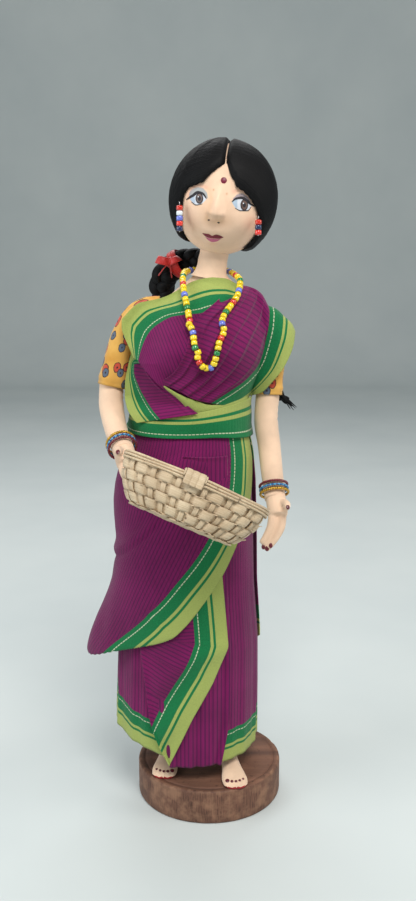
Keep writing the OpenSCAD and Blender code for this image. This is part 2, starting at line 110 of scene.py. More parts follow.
def lut(x, tbl):
    return np.interp(x, [t[0] for t in tbl], [t[1] for t in tbl])


def crv(x, tbl, sig=None):
    """Smoothly interpolated table."""
    xs = np.array([t[0] for t in tbl], float)
    ys = np.array([t[1] for t in tbl], float)
    x = np.asarray(x, float)
    n = len(xs)
    m = np.empty(n)
    d = np.diff(ys) / np.diff(xs)
    m[0], m[-1] = d[0], d[-1]
    for i in range(1, n - 1):
        m[i] = 0 if d[i - 1] * d[i] <= 0 else 2 * d[i - 1] * d[i] / (d[i - 1] + d[i])
    i = np.clip(np.searchsorted(xs, x) - 1, 0, n - 2)
    h = xs[i + 1] - xs[i]
    t = np.clip((x - xs[i]) / h, 0, 1)
    return (2 * t ** 3 - 3 * t ** 2 + 1) * ys[i] + (t ** 3 - 2 * t ** 2 + t) * h * m[i] + (-2 * t ** 3 + 3 * t ** 2) * ys[i + 1] + (t ** 3 - t ** 2) * h * m[i + 1]


def poly_at(pts, t):
    """Catmull-Rom through the points, by share of the chord length."""
    p = np.asarray(pts, float)
    d = np.r_[0, np.cumsum(np.linalg.norm(np.diff(p, axis=0), axis=1))]
    d /= d[-1]
    return np.stack([crv(t, np.stack([d, p[:, k]], 1)) for k in range(p.shape[1])], -1)


def smoothstep(a, b, x):
    t = np.clip((x - a) / (b - a), 0, 1)
    return t * t * (3 - 2 * t)


def fbm(x, seed=0, octs=4):
    """Smooth 1-D noise, about -1 to 1."""
    x = np.asarray(x, float)
    r = np.random.default_rng(seed)
    out = np.zeros_like(x)
    for k in range(octs):
        out += np.sin(x * 1.7 ** k * 1.31 + r.uniform(0, 6.28)) * np.sin(x * 1.7 ** k * 0.77 + r.uniform(0, 6.28)) / 1.5 ** k
    return out / 2.2


# ------------------------------------------------------------------ meshes
def make_obj(name, verts, faces, mat=None, smooth=True):
    me = bpy.data.meshes.new(name)
    me.from_pydata((np.asarray(verts, float) * 0.001).tolist(), [], faces)
    me.validate()
    if smooth:
        me.polygons.foreach_set("use_smooth", [True] * len(me.polygons))
    ob = bpy.data.objects.new(name, me)
    COL.objects.link(ob)
    if mat is not None:
        for m in (mat if isinstance(mat, (list, tuple)) else [mat]):
            me.materials.append(m)
    return ob


def grid_faces(R, C, wrap_c=False, flip=False, base=0):
    i, j = np.meshgrid(np.arange(R - 1), np.arange(C if wrap_c else C - 1), indexing="ij")
    k = (j + 1) % C
    q = np.stack([i * C + j, i * C + k, (i + 1) * C + k, (i + 1) * C + j], -1).reshape(-1, 4) + base
    return (q[:, ::-1] if flip else q).tolist()


def set_uv(ob, uv, name="UVMap"):
    """uv: one pair for each vertex, in mm."""
    me = ob.data
    lay = me.uv_layers.get(name) or me.uv_layers.new(name=name)
    idx = np.zeros(len(me.loops), np.int32)
    me.loops.foreach_get("vertex_index", idx)
    lay.data.foreach_set("uv", np.asarray(uv, np.float32).reshape(-1, 2)[idx].ravel())


def grid_obj(name, P, mat, uv=None, flip=False):
    """Open sheet from a grid of points, rows upwards, columns to the right seen from outside."""
    P = np.asarray(P, float)
    R, C = P.shape[:2]
    ob = make_obj(name, P.reshape(-1, 3), grid_faces(R, C, flip=flip), mat)
    if uv is None:
        du = np.r_[0, np.cumsum(np.linalg.norm(np.diff(P[R // 2], axis=0), axis=1))]
        dv = np.r_[0, np.cumsum(np.linalg.norm(np.diff(P[:, C // 2], axis=0), axis=1))]
        uv = np.stack(np.meshgrid(du, dv), -1)
    set_uv(ob, uv)
    return ob


def frames(path, ref=(0, 0, 1)):
    p = np.asarray(path, float)
    t = np.gradient(p, axis=0)
    t /= np.linalg.norm(t, axis=1)[:, None]
    u = np.cross(np.asarray(ref, float), t[0])
    if np.linalg.norm(u) < 1e-3:
        u = np.cross([1.0, 0.3, 0], t[0])
    us = []
    for k in range(len(p)):
        u = u - t[k] * (u @ t[k])
        u /= np.linalg.norm(u)
        us.append(u)
    us = np.array(us)
    return t, us, np.cross(t, us)


def resample(path, n):
    return poly_at(path, np.linspace(0, 1, n))


def sweep(name, path, ru, rv=None, n=16, mat=None, ref=(0, 0, 1), caps=True, bulge=True, twist=0.0, uv=True, prof=None):
    """Closed tube along a path. ru and rv are half widths, numbers or one for each point."""
    p = np.asarray(path, float)
    m = len(p)
    ru = np.broadcast_to(np.asarray(ru, float), (m,))
    rv = ru if rv is None else np.broadcast_to(np.asarray(rv, float), (m,))
    t, u, v = frames(p, ref)
    a = np.linspace(0, 2 * np.pi, n, endpoint=False)
    k = np.ones(n) if prof is None else prof(a)
    ang = a[None, :] + np.linspace(0, twist, m)[:, None]
    P = p[:, None, :] + u[:, None, :] * (ru[:, None] * k * np.cos(ang))[..., None] + v[:, None, :] * (rv[:, None] * k * np.sin(ang))[..., None]
    verts = P.reshape(-1, 3)
    faces = grid_faces(m, n, wrap_c=True)
    if caps:
        c0 = p[0] - t[0] * (0.25 * ru[0] if bulge else 0)
        c1 = p[-1] + t[-1] * (0.25 * ru[-1] if bulge else 0)
        verts = np.vstack([verts, c0, c1])
        faces += [[m * n, (j + 1) % n, j] for j in range(n)] + [[m * n + 1, (m - 1) * n + j, (m - 1) * n + (j + 1) % n] for j in range(n)]
    ob = make_obj(name, verts, faces, mat)
    if uv:
        L = np.r_[0, np.cumsum(np.linalg.norm(np.diff(p, axis=0), axis=1))]
        w = np.stack(np.meshgrid(a * ru.mean(), L), -1).reshape(-1, 2)
        if caps:
            w = np.vstack([w, [0, 0], [0, L[-1]]])
        set_uv(ob, w)
    return ob


def join(name, obs):
    """Join meshes, keeping their materials and UV maps."""
    bpy.ops.object.select_all(action="DESELECT")
    for o in obs:
        o.select_set(True)
    bpy.context.view_layer.objects.active = obs[0]
    bpy.ops.object.join()
    obs[0].name = name
    obs[0].data.name = name
    return obs[0]


def apply_mods(ob):
    bpy.context.view_layer.update()
    dg = bpy.context.evaluated_depsgraph_get()
    me = bpy.data.meshes.new_from_object(ob.evaluated_get(dg))
    ob.modifiers.clear()
    ob.data = me
    return ob


def remesh(ob, voxel, smooth_it=6, decimate=None):
    m = ob.modifiers.new("r", "REMESH")
    m.mode = "VOXEL"
    m.voxel_size = voxel * 0.001
    m.use_smooth_shade = True
    s = ob.modifiers.new("s", "SMOOTH")
    s.factor = 0.5
    s.iterations = smooth_it
    if decimate:
        d = ob.modifiers.new("d", "DECIMATE")
        d.ratio = decimate
    apply_mods(ob)
    ob.data.polygons.foreach_set("use_smooth", [True] * len(ob.data.polygons))
    return ob


def solid(ob, t=0.3, sub=0, offset=0.0):
    if sub:
        s = ob.modifiers.new("sub", "SUBSURF")
        s.levels = s.render_levels = sub
    m = ob.modifiers.new("thick", "SOLIDIFY")
    m.thickness = t * 0.001
    m.offset = offset
    m.use_even_offset = False
    return ob
# ------------------------------------------------------------------ materials
class NT:
    def __init__(self, name):
        self.m = bpy.data.materials.new(name)
        self.m.use_nodes = True
        self.t = self.m.node_tree
        self.b = self.t.nodes["Principled BSDF"]

    def n(self, kind, **kw):
        nd = self.t.nodes.new(kind)
        for k, v in kw.items():
            setattr(nd, k, v)
        return nd

    def link(self, a, b):
        self.t.links.new(a, b)

    def val(self, sock, v):
        if hasattr(v, "is_linked") or isinstance(v, bpy.types.NodeSocket):
            self.link(v, sock)
        else:
            sock.default_value = v

    def math(self, op, a, b=0.0, c=None, clamp=False):
        nd = self.n("ShaderNodeMath", operation=op, use_clamp=clamp)
        self.val(nd.inputs[0], a)
        self.val(nd.inputs[1], b)
        if c is not None:
            self.val(nd.inputs[2], c)
        return nd.outputs[0]

    def mix(self, f, a, b, mode="MIX"):
        nd = self.n("ShaderNodeMix", data_type="RGBA", blend_type=mode)
        self.val(nd.inputs[0], f)
        for s, v in ((nd.inputs[6], a), (nd.inputs[7], b)):
            if isinstance(v, (tuple, list)):
                s.default_value = (*v[:3], 1)
            else:
                self.link(v, s)
        return nd.outputs[2]

    def uv(self, name="UVMap"):
        nd = self.n("ShaderNodeUVMap", uv_map=name)
        sep = self.n("ShaderNodeSeparateXYZ")
        self.link(nd.outputs[0], sep.inputs[0])
        return nd.outputs[0], sep.outputs[0], sep.outputs[1]

    def obj(self):
        return self.n("ShaderNodeTexCoord").outputs["Object"]

    def noise(self, vec, scale, detail=3.0, rough=0.55, dim="3D"):
        nd = self.n("ShaderNodeTexNoise", noise_dimensions=dim)
        if vec is not None:
            self.link(vec, nd.inputs["Vector"])
        nd.inputs["Scale"].default_value = scale
        nd.inputs["Detail"].default_value = detail
        nd.inputs["Roughness"].default_value = rough
        return nd.outputs["Fac"]

    def scale(self, vec, s):
        nd = self.n("ShaderNodeVectorMath", operation="MULTIPLY")
        self.link(vec, nd.inputs[0])
        nd.inputs[1].default_value = s
        return nd.outputs[0]

    def band(self, x, a, b, soft=0.12):
        """1 where a < x < b, with soft ends."""
        lo = self.n("ShaderNodeMapRange", interpolation_type="SMOOTHSTEP")
        self.val(lo.inputs[0], x)
        lo.inputs[1].default_value, lo.inputs[2].default_value = a - soft, a + soft
        hi = self.n("ShaderNodeMapRange", interpolation_type="SMOOTHSTEP")
        self.val(hi.inputs[0], x)
        hi.inputs[1].default_value, hi.inputs[2].default_value = b - soft, b + soft
        hi.inputs[3].default_value, hi.inputs[4].default_value = 1, 0
        return self.math("MULTIPLY", lo.outputs[0], hi.outputs[0])

    def remap(self, x, a, b, c, d):
        nd = self.n("ShaderNodeMapRange")
        self.val(nd.inputs[0], x)
        for k, v in zip((1, 2, 3, 4), (a, b, c, d)):
            nd.inputs[k].default_value = v
        return nd.outputs[0]

    def tri(self, x, period):
        """Triangle wave 0..1 of that period."""
        nd = self.math("PINGPONG", x, period / 2)
        return self.math("DIVIDE", nd, period / 2)

    def bump(self, h, strength=0.4, dist=0.0002, normal=None):
        nd = self.n("ShaderNodeBump")
        nd.inputs["Strength"].default_value = strength
        nd.inputs["Distance"].default_value = dist
        self.link(h, nd.inputs["Height"])
        if normal is not None:
            self.link(normal, nd.inputs["Normal"])
        return nd.outputs[0]

    def out(self, color=None, rough=None, normal=None, sheen=0.0, spec=0.5, coat=0.0, metal=0.0, sheen_rough=0.5, coat_rough=0.1):
        b = self.b
        if color is not None:
            if isinstance(color, (tuple, list)):
                b.inputs["Base Color"].default_value = (*color[:3], 1)
            else:
                self.link(color, b.inputs["Base Color"])
        if rough is not None:
            self.val(b.inputs["Roughness"], rough)
        if normal is not None:
            self.link(normal, b.inputs["Normal"])
        b.inputs["Sheen Weight"].default_value = sheen
        b.inputs["Sheen Roughness"].default_value = sheen_rough
        b.inputs["Specular IOR Level"].default_value = spec
        b.inputs["Coat Weight"].default_value = coat
        b.inputs["Coat Roughness"].default_value = coat_rough
        b.inputs["Metallic"].default_value = metal
        return self.m


def srgb(r, g, b):
    f = lambda c: c / 12.92 if c <= 0.04045 else ((c + 0.055) / 1.055) ** 2.4
    return (f(r / 255), f(g / 255), f(b / 255))


def weave_height(k, u, v, pitch):
    """Height of a plain weave from two thread waves."""
    a = k.math("SINE", k.math("MULTIPLY", u, 2 * math.pi / pitch))
    b = k.math("SINE", k.math("MULTIPLY", v, 2 * math.pi / pitch))
    return k.math("MULTIPLY", a, b)


def mat_cotton(name, base, var=0.06, pitch=0.55, attr=None, rough=0.85):
    """Fine plain cotton: soft mottling, thread weave from object space, so that it needs no UV map."""
    k = NT(name)
    o = k.obj()
    n1 = k.noise(o, 60, 4)
    n2 = k.noise(o, 900, 2)
    sep = k.n("ShaderNodeSeparateXYZ")
    k.link(k.scale(o, (1000, 1000, 1000)), sep.inputs[0])
    xx = k.math("ADD", sep.outputs[0], k.math("MULTIPLY", sep.outputs[1], 0.6))
    w = weave_height(k, xx, sep.outputs[2], pitch)
    dark = tuple(c * (1 - var * 3.0) for c in base)
    col = k.mix(k.remap(n1, 0.35, 0.65, 0, 1), dark, base)
    if attr:
        at = k.n("ShaderNodeVertexColor", layer_name=attr)
        col = k.mix(1.0, col, at.outputs["Color"], "MULTIPLY")
    col = k.mix(k.math("MULTIPLY", k.remap(w, -1, 1, 0, 1), 0.10), col, (0.25, 0.17, 0.11), "MULTIPLY")
    h = k.math("ADD", k.math("MULTIPLY", w, 0.5), k.math("MULTIPLY", n2, 0.6))
    return k.out(col, k.remap(n1, 0, 1, rough - 0.08, rough + 0.08), k.bump(h, 0.35, 0.00012), sheen=0.25, spec=0.3)


PURPLE = srgb(124, 15, 86)
PURPLE_D = srgb(48, 10, 62)
GREEN = srgb(12, 118, 66)
LIME = srgb(168, 182, 98)
STITCH = srgb(214, 222, 190)


def mat_sari(name, border=True, period=2.1, purple=PURPLE, dash=15.0, both=False):
    """Handloom cotton. UV in mm: u runs along the cloth, v is the distance from the border's outer edge."""
    k = NT(name)
    uv, u, v = k.uv()
    o = k.obj()
    wob = k.noise(k.scale(uv, (0.5, 0.12, 1)), 1.0, 3)
    uu = k.math("ADD", u, k.math("MULTIPLY", k.math("SUBTRACT", wob, 0.5), 0.5))
    thread = k.noise(k.scale(uv, (5.0, 0.25, 1)), 1.0, 2, 0.6)
    s1 = k.tri(uu, period)
    s2 = k.tri(uu, period * 0.37)
    line = k.math("ADD", k.math("MULTIPLY", k.remap(s1, 0.52, 0.80, 0, 1), 0.75), k.math("MULTIPLY", k.remap(s2, 0.4, 0.9, 0, 1), 0.25), clamp=True)
    line = k.math("MULTIPLY", line, k.remap(thread, 0.3, 0.6, 0.55, 1.0), clamp=True)
    n1 = k.noise(o, 45, 4)
    pur = k.mix(k.remap(n1, 0.3, 0.7, 0, 1), tuple(c * 0.80 for c in purple), tuple(min(1, c * 1.18) for c in purple))
    fleck = k.remap(k.noise(k.scale(uv, (1.2, 6.0, 1)), 1.0, 2, 0.7), 0.55, 0.75, 0, 0.5)
    pur = k.mix(fleck, pur, tuple(min(1, c * 1.7) for c in purple))
    pur = k.mix(k.math("MULTIPLY", line, 0.82), pur, PURPLE_D)
    if border:
        slub = k.noise(k.scale(uv, (4.0, 1.0, 1)), 1.0, 3, 0.6)
        gr = k.mix(k.remap(slub, 0.3, 0.7, 0, 1), tuple(c * 0.72 for c in GREEN), tuple(c * 1.25 for c in GREEN))
        li = k.mix(k.remap(slub, 0.3, 0.7, 0, 1), tuple(c * 0.84 for c in LIME), tuple(min(1, c * 1.1) for c in LIME))
        ve = k.math("ADD", v, k.math("MULTIPLY", k.math("SUBTRACT", k.noise(k.scale(uv, (3, 0, 1)), 1.0, 2), 0.5), 0.22))
        col = k.mix(k.band(ve, -9, 17.3, 0.14), pur, gr)
        col = k.mix(k.band(ve, -9, 6.6, 0.12), col, li)
        col = k.mix(k.band(ve, 7.9, 9.4, 0.12), col, li)
        du = k.math("PINGPONG", k.math("ADD", u, 40.0), 0.95)
        ds = k.math("MULTIPLY", k.band(du, 0.22, 2.0, 0.06), k.band(v, dash - 0.24, dash + 0.24, 0.08))
        col = k.mix(k.math("MULTIPLY", ds, 0.9), col, STITCH)
        edge = k.band(v, -1, 0.35, 0.1)
        col = k.mix(k.math("MULTIPLY", edge, 0.35), col, tuple(c * 0.5 for c in LIME))
    else:
        col = pur
        ds = None
    w = weave_height(k, u, v, 0.62)
    fine = k.noise(k.scale(uv, (2.2, 2.2, 1)), 1.0, 3, 0.7)
    h = k.math("ADD", k.math("MULTIPLY", w, 0.35), k.math("MULTIPLY", fine, 0.9))
    h = k.math("SUBTRACT", h, k.math("MULTIPLY", line, 0.5))
    if ds is not None:
        h = k.math("ADD", h, k.math("MULTIPLY", ds, 1.6))
    col = k.mix(k.math("MULTIPLY", k.remap(w, -1, 1, 1, 0), 0.22), col, (0.05, 0.02, 0.05), "MULTIPLY")
    return k.out(col, k.remap(fine, 0.2, 0.8, 0.72, 0.95), k.bump(h, 0.55, 0.00018), sheen=0.12, spec=0.22)


def mat_hair(name):
    k = NT(name)
    uv, u, v = k.uv()
    st = k.noise(k.scale(uv, (5.5, 0.07, 1)), 1.0, 4, 0.65)
    big = k.noise(k.scale(uv, (0.45, 0.03, 1)), 1.0, 2)
    col = k.mix(k.remap(st, 0.35, 0.7, 0, 1), srgb(3, 3, 4), srgb(11, 11, 13))
    col = k.mix(k.remap(big, 0.4, 0.7, 0, 0.5), col, srgb(7, 7, 9))
    h = k.math("ADD", st, k.math("MULTIPLY", big, 0.8))
    return k.out(col, k.remap(st, 0.3, 0.7, 0.5, 0.72), k.bump(h, 0.5, 0.00014), sheen=0.0, spec=0.18)


def mat_plain(name, color, rough=0.4, coat=0.0, metal=0.0, scale=700, var=0.15, bump=0.15, sheen=0.0, spec=0.5, dist=0.0001):
    k = NT(name)
    o = k.obj()
    n1 = k.noise(o, scale * 0.2, 3)
    n2 = k.noise(o, scale, 3)
    col = k.mix(k.remap(n1, 0.3, 0.7, 0, 1), tuple(c * (1 - var) for c in color), tuple(min(1, c * (1 + var)) for c in color))
    return k.out(col, k.remap(n2, 0.2, 0.8, max(0.03, rough - 0.08), min(1, rough + 0.1)), k.bump(n2, bump, dist), coat=coat, metal=metal, sheen=sheen, spec=spec)


def mat_cane(name):
    k = NT(name)
    uv, u, v = k.uv()
    o = k.obj()
    gr = k.noise(k.scale(uv, (0.10, 3.2, 1)), 1.0, 4, 0.6)
    big = k.noise(o, 70, 3)
    tone = k.noise(o, 220, 2)
    col = k.mix(k.remap(gr, 0.3, 0.7, 0, 1), srgb(186, 160, 124), srgb(232, 214, 184))
    col = k.mix(k.remap(big, 0.35, 0.7, 0.35, 0), col, srgb(150, 120, 88))
    spot = k.remap(k.noise(o, 420, 2, 0.4), 0.70, 0.78, 0, 0.8)
    col = k.mix(spot, col, srgb(92, 68, 50))
    h = k.math("ADD", gr, k.math("MULTIPLY", tone, 0.4))
    return k.out(col, k.remap(gr, 0.2, 0.8, 0.42, 0.65), k.bump(h, 0.5, 0.00015), sheen=0.05, spec=0.4)


def mat_wood(name):
    """Turned disc: growth rings across the top seen as long soft grain, upright pores on the side."""
    k = NT(name)
    o = k.obj()
    p = k.scale(o, (14, 130, 14))
    warp = k.noise(k.scale(o, (30, 30, 60)), 1.0, 3)
    g = k.noise(p, 1.0, 5, 0.6)
    sep = k.n("ShaderNodeSeparateXYZ")
    k.link(k.scale(o, (1000, 1000, 1000)), sep.inputs[0])
    r2 = k.math("SQRT", k.math("ADD", k.math("POWER", sep.outputs[0], 2), k.math("POWER", sep.outputs[1], 2)))
    turn = k.math("SINE", k.math("ADD", k.math("MULTIPLY", r2, 3.1), k.math("MULTIPLY", warp, 2.0)))
    at = k.n("ShaderNodeMath", operation="ARCTAN2")
    k.link(sep.outputs[1], at.inputs[0])
    k.link(sep.outputs[0], at.inputs[1])
    comb = k.n("ShaderNodeCombineXYZ")
    k.link(k.math("MULTIPLY", at.outputs[0], 60.0), comb.inputs[0])
    k.link(k.math("MULTIPLY", sep.outputs[2], 0.12), comb.inputs[1])
    side = k.noise(comb.outputs[0], 1.0, 4, 0.65)
    geo = k.n("ShaderNodeNewGeometry")
    sn = k.n("ShaderNodeSeparateXYZ")
    k.link(geo.outputs["Normal"], sn.inputs[0])
    top = k.remap(k.math("ABSOLUTE", sn.outputs[2]), 0.4, 0.7, 0, 1)
    grain = k.n("ShaderNodeMix")
    k.link(top, grain.inputs[0])
    k.link(side, grain.inputs[2])
    k.link(g, grain.inputs[3])
    gv = grain.outputs[0]
    col = k.mix(k.remap(gv, 0.3, 0.72, 0, 1), srgb(74, 48, 38), srgb(138, 98, 78))
    col = k.mix(k.remap(warp, 0.35, 0.7, 0.3, 0), col, srgb(62, 40, 32))
    col = k.mix(k.math("MULTIPLY", k.remap(k.noise(k.scale(o, (420, 420, 60)), 1.0, 2), 0.62, 0.72, 0, 1), 0.5), col, srgb(44, 28, 22))
    worn = k.math("MULTIPLY", k.band(r2, 37.6, 39.4, 0.4), k.remap(k.noise(o, 160, 3), 0.45, 0.65, 0, 0.45))
    col = k.mix(worn, col, srgb(168, 128, 100))
    h = k.math("ADD", k.math("MULTIPLY", gv, 0.9), k.math("MULTIPLY", k.math("MULTIPLY", turn, top), 0.16))
    return k.out(col, k.remap(gv, 0.2, 0.8, 0.55, 0.75), k.bump(h, 0.5, 0.0003), spec=0.35)


def mat_print(name):
    """Mustard cotton with small printed leaves in coral and blue-grey, outlined dark."""
    k = NT(name)
    uv, u, v = k.uv()
    o = k.obj()
    base = k.mix(k.remap(k.noise(o, 80, 3), 0.3, 0.7, 0, 1), srgb(206, 150, 66), srgb(228, 178, 92))
    col = base
    for i, (sc, off, c) in enumerate(((0.08, (0, 0, 0), srgb(196, 78, 58)), (0.09, (5.3, 2.1, 0), srgb(88, 102, 120)))):
        mp = k.n("ShaderNodeMapping")
        k.link(uv, mp.inputs[0])
        mp.inputs["Location"].default_value = off
        mp.inputs["Rotation"].default_value = (0, 0, 0.5 + i * 1.1)
        mp.inputs["Scale"].default_value = (sc * 1.45, sc, 1)
        vo = k.n("ShaderNodeTexVoronoi", voronoi_dimensions="2D", feature="F1")
        k.link(mp.outputs[0], vo.inputs["Vector"])
        vo.inputs["Scale"].default_value = 1.0
        vo.inputs["Randomness"].default_value = 0.9
        d = k.math("ADD", vo.outputs["Distance"], k.math("MULTIPLY", k.math("SUBTRACT", k.noise(uv, 0.9, 2), 0.5), 0.08))
        col = k.mix(k.band(d, -1, 0.235, 0.012), col, srgb(52, 40, 44))
        col = k.mix(k.band(d, -1, 0.195, 0.012), col, c)
        col = k.mix(k.band(d, -1, 0.05, 0.012), col, srgb(60, 36, 40))
    w = weave_height(k, u, v, 0.5)
    return k.out(col, 0.85, k.bump(k.math("ADD", w, k.noise(uv, 2.0, 3)), 0.35, 0.00012), sheen=0.2, spec=0.25)


M_SKIN = mat_cotton("skin_cotton", srgb(244, 210, 180))
M_SARI = mat_sari("sari_border")
M_SARI_PLAIN = mat_sari("sari_plain", border=False)
M_HAIR = mat_hair("hair_black")
M_CANE = mat_cane("cane")
M_WOOD = mat_wood("turned_wood")
M_PRINT = mat_print("blouse_print")
M_RIBBON = mat_plain("ribbon_red", srgb(196, 28, 24), rough=0.45, sheen=0.3, var=0.2, bump=0.3, scale=900)
M_STEEL = mat_plain("steel_wire", (0.55, 0.55, 0.56), rough=0.35, metal=1.0, var=0.08)
M_GOLD = mat_plain("bangle_gold", srgb(206, 160, 66), rough=0.28, metal=0.9, var=0.15)
M_BLUE = mat_plain("bangle_blue", srgb(22, 86, 150), rough=0.18, coat=0.8, var=0.25)
M_MAROON = mat_plain("bangle_maroon", srgb(110, 14, 28), rough=0.25, coat=0.5, var=0.2)
M_NAIL = mat_plain("nail_paint", srgb(92, 18, 34), rough=0.35, coat=0.3, var=0.15)
M_ALTA = mat_plain("red_dye", srgb(168, 40, 44), rough=0.7, var=0.25)
M_THREAD = mat_plain("bead_thread", srgb(226, 220, 206), rough=0.7, var=0.1)
BEADS = {n: mat_plain("bead_" + n, srgb(*c), rough=0.12, coat=0.9, var=0.12, bump=0.1, scale=400) for n, c in {
    "yellow": (238, 206, 18), "green": (20, 128, 62), "red": (206, 46, 26), "blue": (104, 120, 210), "navy": (24, 44, 84),
    "white": (226, 234, 240), "sky": (58, 150, 196), "coral": (226, 56, 48)}.items()}
M_PETTI = mat_cotton("petticoat_cotton", srgb(92, 16, 64), var=0.08)
# ------------------------------------------------------------------ cloth
CAM = np.array([-0.66, -500.0, 297.06])
PITCH = math.radians(11.93)
FOC = 39.19 / 36 * 901
FRONT_W, FRONT_H = 208.0, 450.5


def view(U, V, surf, n=40):
    """Points of a drawing on the front view laid onto the surface y = surf(x, z)."""
    U, V = np.asarray(U, float), np.asarray(V, float)
    a, b = (U - FRONT_W) / FOC, -(V - FRONT_H) / FOC
    dx, dy, dz = a, math.cos(PITCH) + b * math.sin(PITCH), -math.sin(PITCH) + b * math.cos(PITCH)
    y = np.full(U.shape, -18.0)
    for _ in range(n):
        s = (y - CAM[1]) / dy
        y = 0.6 * y + 0.4 * surf(CAM[0] + s * dx, CAM[2] + s * dz)
    s = (y - CAM[1]) / dy
    return np.stack([CAM[0] + s * dx, y, CAM[2] + s * dz], -1)


def softmin(a, b, k=2.5):
    h = np.clip(0.5 + 0.5 * (b - a) / k, 0, 1)
    return b * (1 - h) + a * h - k * h * (1 - h)


def edge_uv(P, E):
    """u: how far along the edge E the nearest point is. v: how far away the edge is."""
    sh = P.shape[:-1]
    Q = P.reshape(-1, 3)
    E = np.asarray(E, float)
    L = np.r_[0, np.cumsum(np.linalg.norm(np.diff(E, axis=0), axis=1))]
    bu, bv = np.zeros(len(Q)), np.full(len(Q), 1e9)
    for k in range(0, len(Q), 4000):
        q = Q[k:k + 4000]
        A, B = E[:-1], E[1:]
        AB = B - A
        t = np.clip(((q[:, None] - A[None]) * AB[None]).sum(-1) / np.maximum((AB ** 2).sum(-1), 1e-9)[None], 0, 1)
        d = np.linalg.norm(q[:, None] - (A[None] + t[..., None] * AB[None]), axis=-1)
        i = d.argmin(1)
        r = np.arange(len(q))
        bv[k:k + 4000] = d[r, i]
        bu[k:k + 4000] = L[i] + t[r, i] * (L[i + 1] - L[i])
    return np.stack([bu.reshape(sh), bv.reshape(sh)], -1)


def softplus(x, k=6.0):
    return k * np.log1p(np.exp(np.clip(x / k, -30, 30)))


def relax(A, n=2):
    A = A.copy()
    for _ in range(n):
        A[1:-1] = 0.5 * A[1:-1] + 0.25 * (A[:-2] + A[2:])
    return A


SIZES = {}


def cloth(name, P, uv, t=0.35, mat=None, flip=False):
    """A thin sheet. Its width, length and area are kept in SIZES."""
    a, b = np.diff(P, axis=1), np.diff(P, axis=0)
    n = np.linalg.norm(np.cross(a[:-1], b[:, :-1]), axis=-1) * 0.5 + np.linalg.norm(np.cross(a[1:], b[:, 1:]), axis=-1) * 0.5
    SIZES[name] = (float(np.linalg.norm(a, axis=-1).sum(1).max()), float(np.linalg.norm(b, axis=-1).sum(0).max()), float(n.sum()))
    ob = grid_obj(name, P, mat or M_SARI, uv, flip=flip)
    solid(ob, t, 0, 0.0)
    return apply_mods(ob)


# inner wrap: a full tube round the legs, from the hem to the waist
def hem(a):
    return 38.5 - 9 * np.cos(np.radians(a + 45)) + 0.8 * fbm(a / 14, 3)


def inner_wrap():
    A = np.linspace(-180, 180, 361)
    S = np.linspace(0, 1, 110)
    a, s = np.meshgrid(A, S)
    z = hem(a) + (203 - hem(a)) * s
    low = smoothstep(170, 40, z)
    fold = 0.75 * np.sin(np.radians(a) * 17 + 1.2 * np.sin(np.radians(a) * 3) + 0.004 * z) + 0.5 * np.sin(np.radians(a) * 29 + 1.0 + z * 0.01)
    free = 1 - 0.97 * bell(wrapdeg(a + 85), 70)
    o = 0.9 + (fold * 0.8 + 0.35) * low * free + 0.25 * low
    o = o + 1.6 * smoothstep(60, 28, z) * free * np.clip(np.sin(np.radians(a) * 6 + 0.4), -0.2, 1) * 0.6
    P = KP(z, a, o)
    du = np.linalg.norm(np.diff(P[55], axis=0), axis=1)
    u = np.r_[0, np.cumsum(du)]
    uv = np.stack(np.meshgrid(u, S), -1)
    uv[..., 1] = z - hem(a) - 0.15
    return cloth("sari_inner_wrap_cloth", P, uv, 0.4)


# pleat B: the plain panel that hangs in front of it, and pleat A with the zigzag border
def pleat_panel():
    Z = np.linspace(28.9, 150, 90)
    S = np.linspace(0, 1, 50)
    L = np.interp(Z, [28, 33, 54, 90, 150], [-20.6, -21.5, -25, -30, -34])
    R = crv(Z, [[28, 6.1], [40, 8.4], [53, 10.3], [80, 11], [150, 8]])
    x = L[:, None] + (R - L)[:, None] * S[None]
    z = np.broadcast_to(Z[:, None], x.shape)
    low = smoothstep(150, 50, z)
    o = 2.5 + 0.45 * low * np.sin(S[None] * 19 + 0.8) + 0.3 * low * np.sin(S[None] * 33)
    o = o + 1.0 * smoothstep(0.88, 1.0, S)[None] * smoothstep(110, 60, z)
    P = np.stack([x, YF(x, z, o), z], -1)
    uv = np.stack([x + 60, np.full_like(x, 60)], -1)
    return cloth("sari_pleat_panel_cloth", P, uv, 0.35, M_SARI_PLAIN)


PA_R = [[30.6, -20.6], [31.5, -20.3], [57.6, -8.4], [76.4, 1.8], [95.8, 9.8], [131, 6.7], [150, 5]]
PA_L = [[30.6, -20.7], [42, -26.5], [54, -30.5], [70, -32.5], [86, -34.5], [100, -36], [150, -38.5]]


def pleat_front():
    Z = np.linspace(30.6, 148, 150)
    S = np.linspace(0, 1, 90)
    L = crv(Z, PA_L)
    R = relax(np.interp(Z, [t[0] for t in PA_R], [t[1] for t in PA_R]), 3)
    x = L[:, None] + (R - L)[:, None] * S[None]
    z = np.broadcast_to(Z[:, None], x.shape)
    ridge = (z - 96) - (x - 9.8) * 0.26
    o = 3.7 + 1.5 * np.exp(-(ridge / 5.5) ** 2) * smoothstep(-40, 6, x) - 0.9 * smoothstep(2, 22, ridge)
    d1 = (z - 70) - (x + 26) * 0.75
    o = o + 0.9 * np.sin(d1 * 0.22) * smoothstep(0.02, 0.25, S)[None] * smoothstep(110, 80, z) * (1 - smoothstep(0.45, 0.9, S)[None])
    o = o + 1.2 * np.exp(-((S[None] - 0.0) / 0.06) ** 2) * smoothstep(120, 90, z)
    P = np.stack([x, YF(x, z, o), z], -1)
    uv = edge_uv(P, relax(P[:, -1], 0))
    return cloth("sari_front_pleat_cloth", P, uv, 0.4)


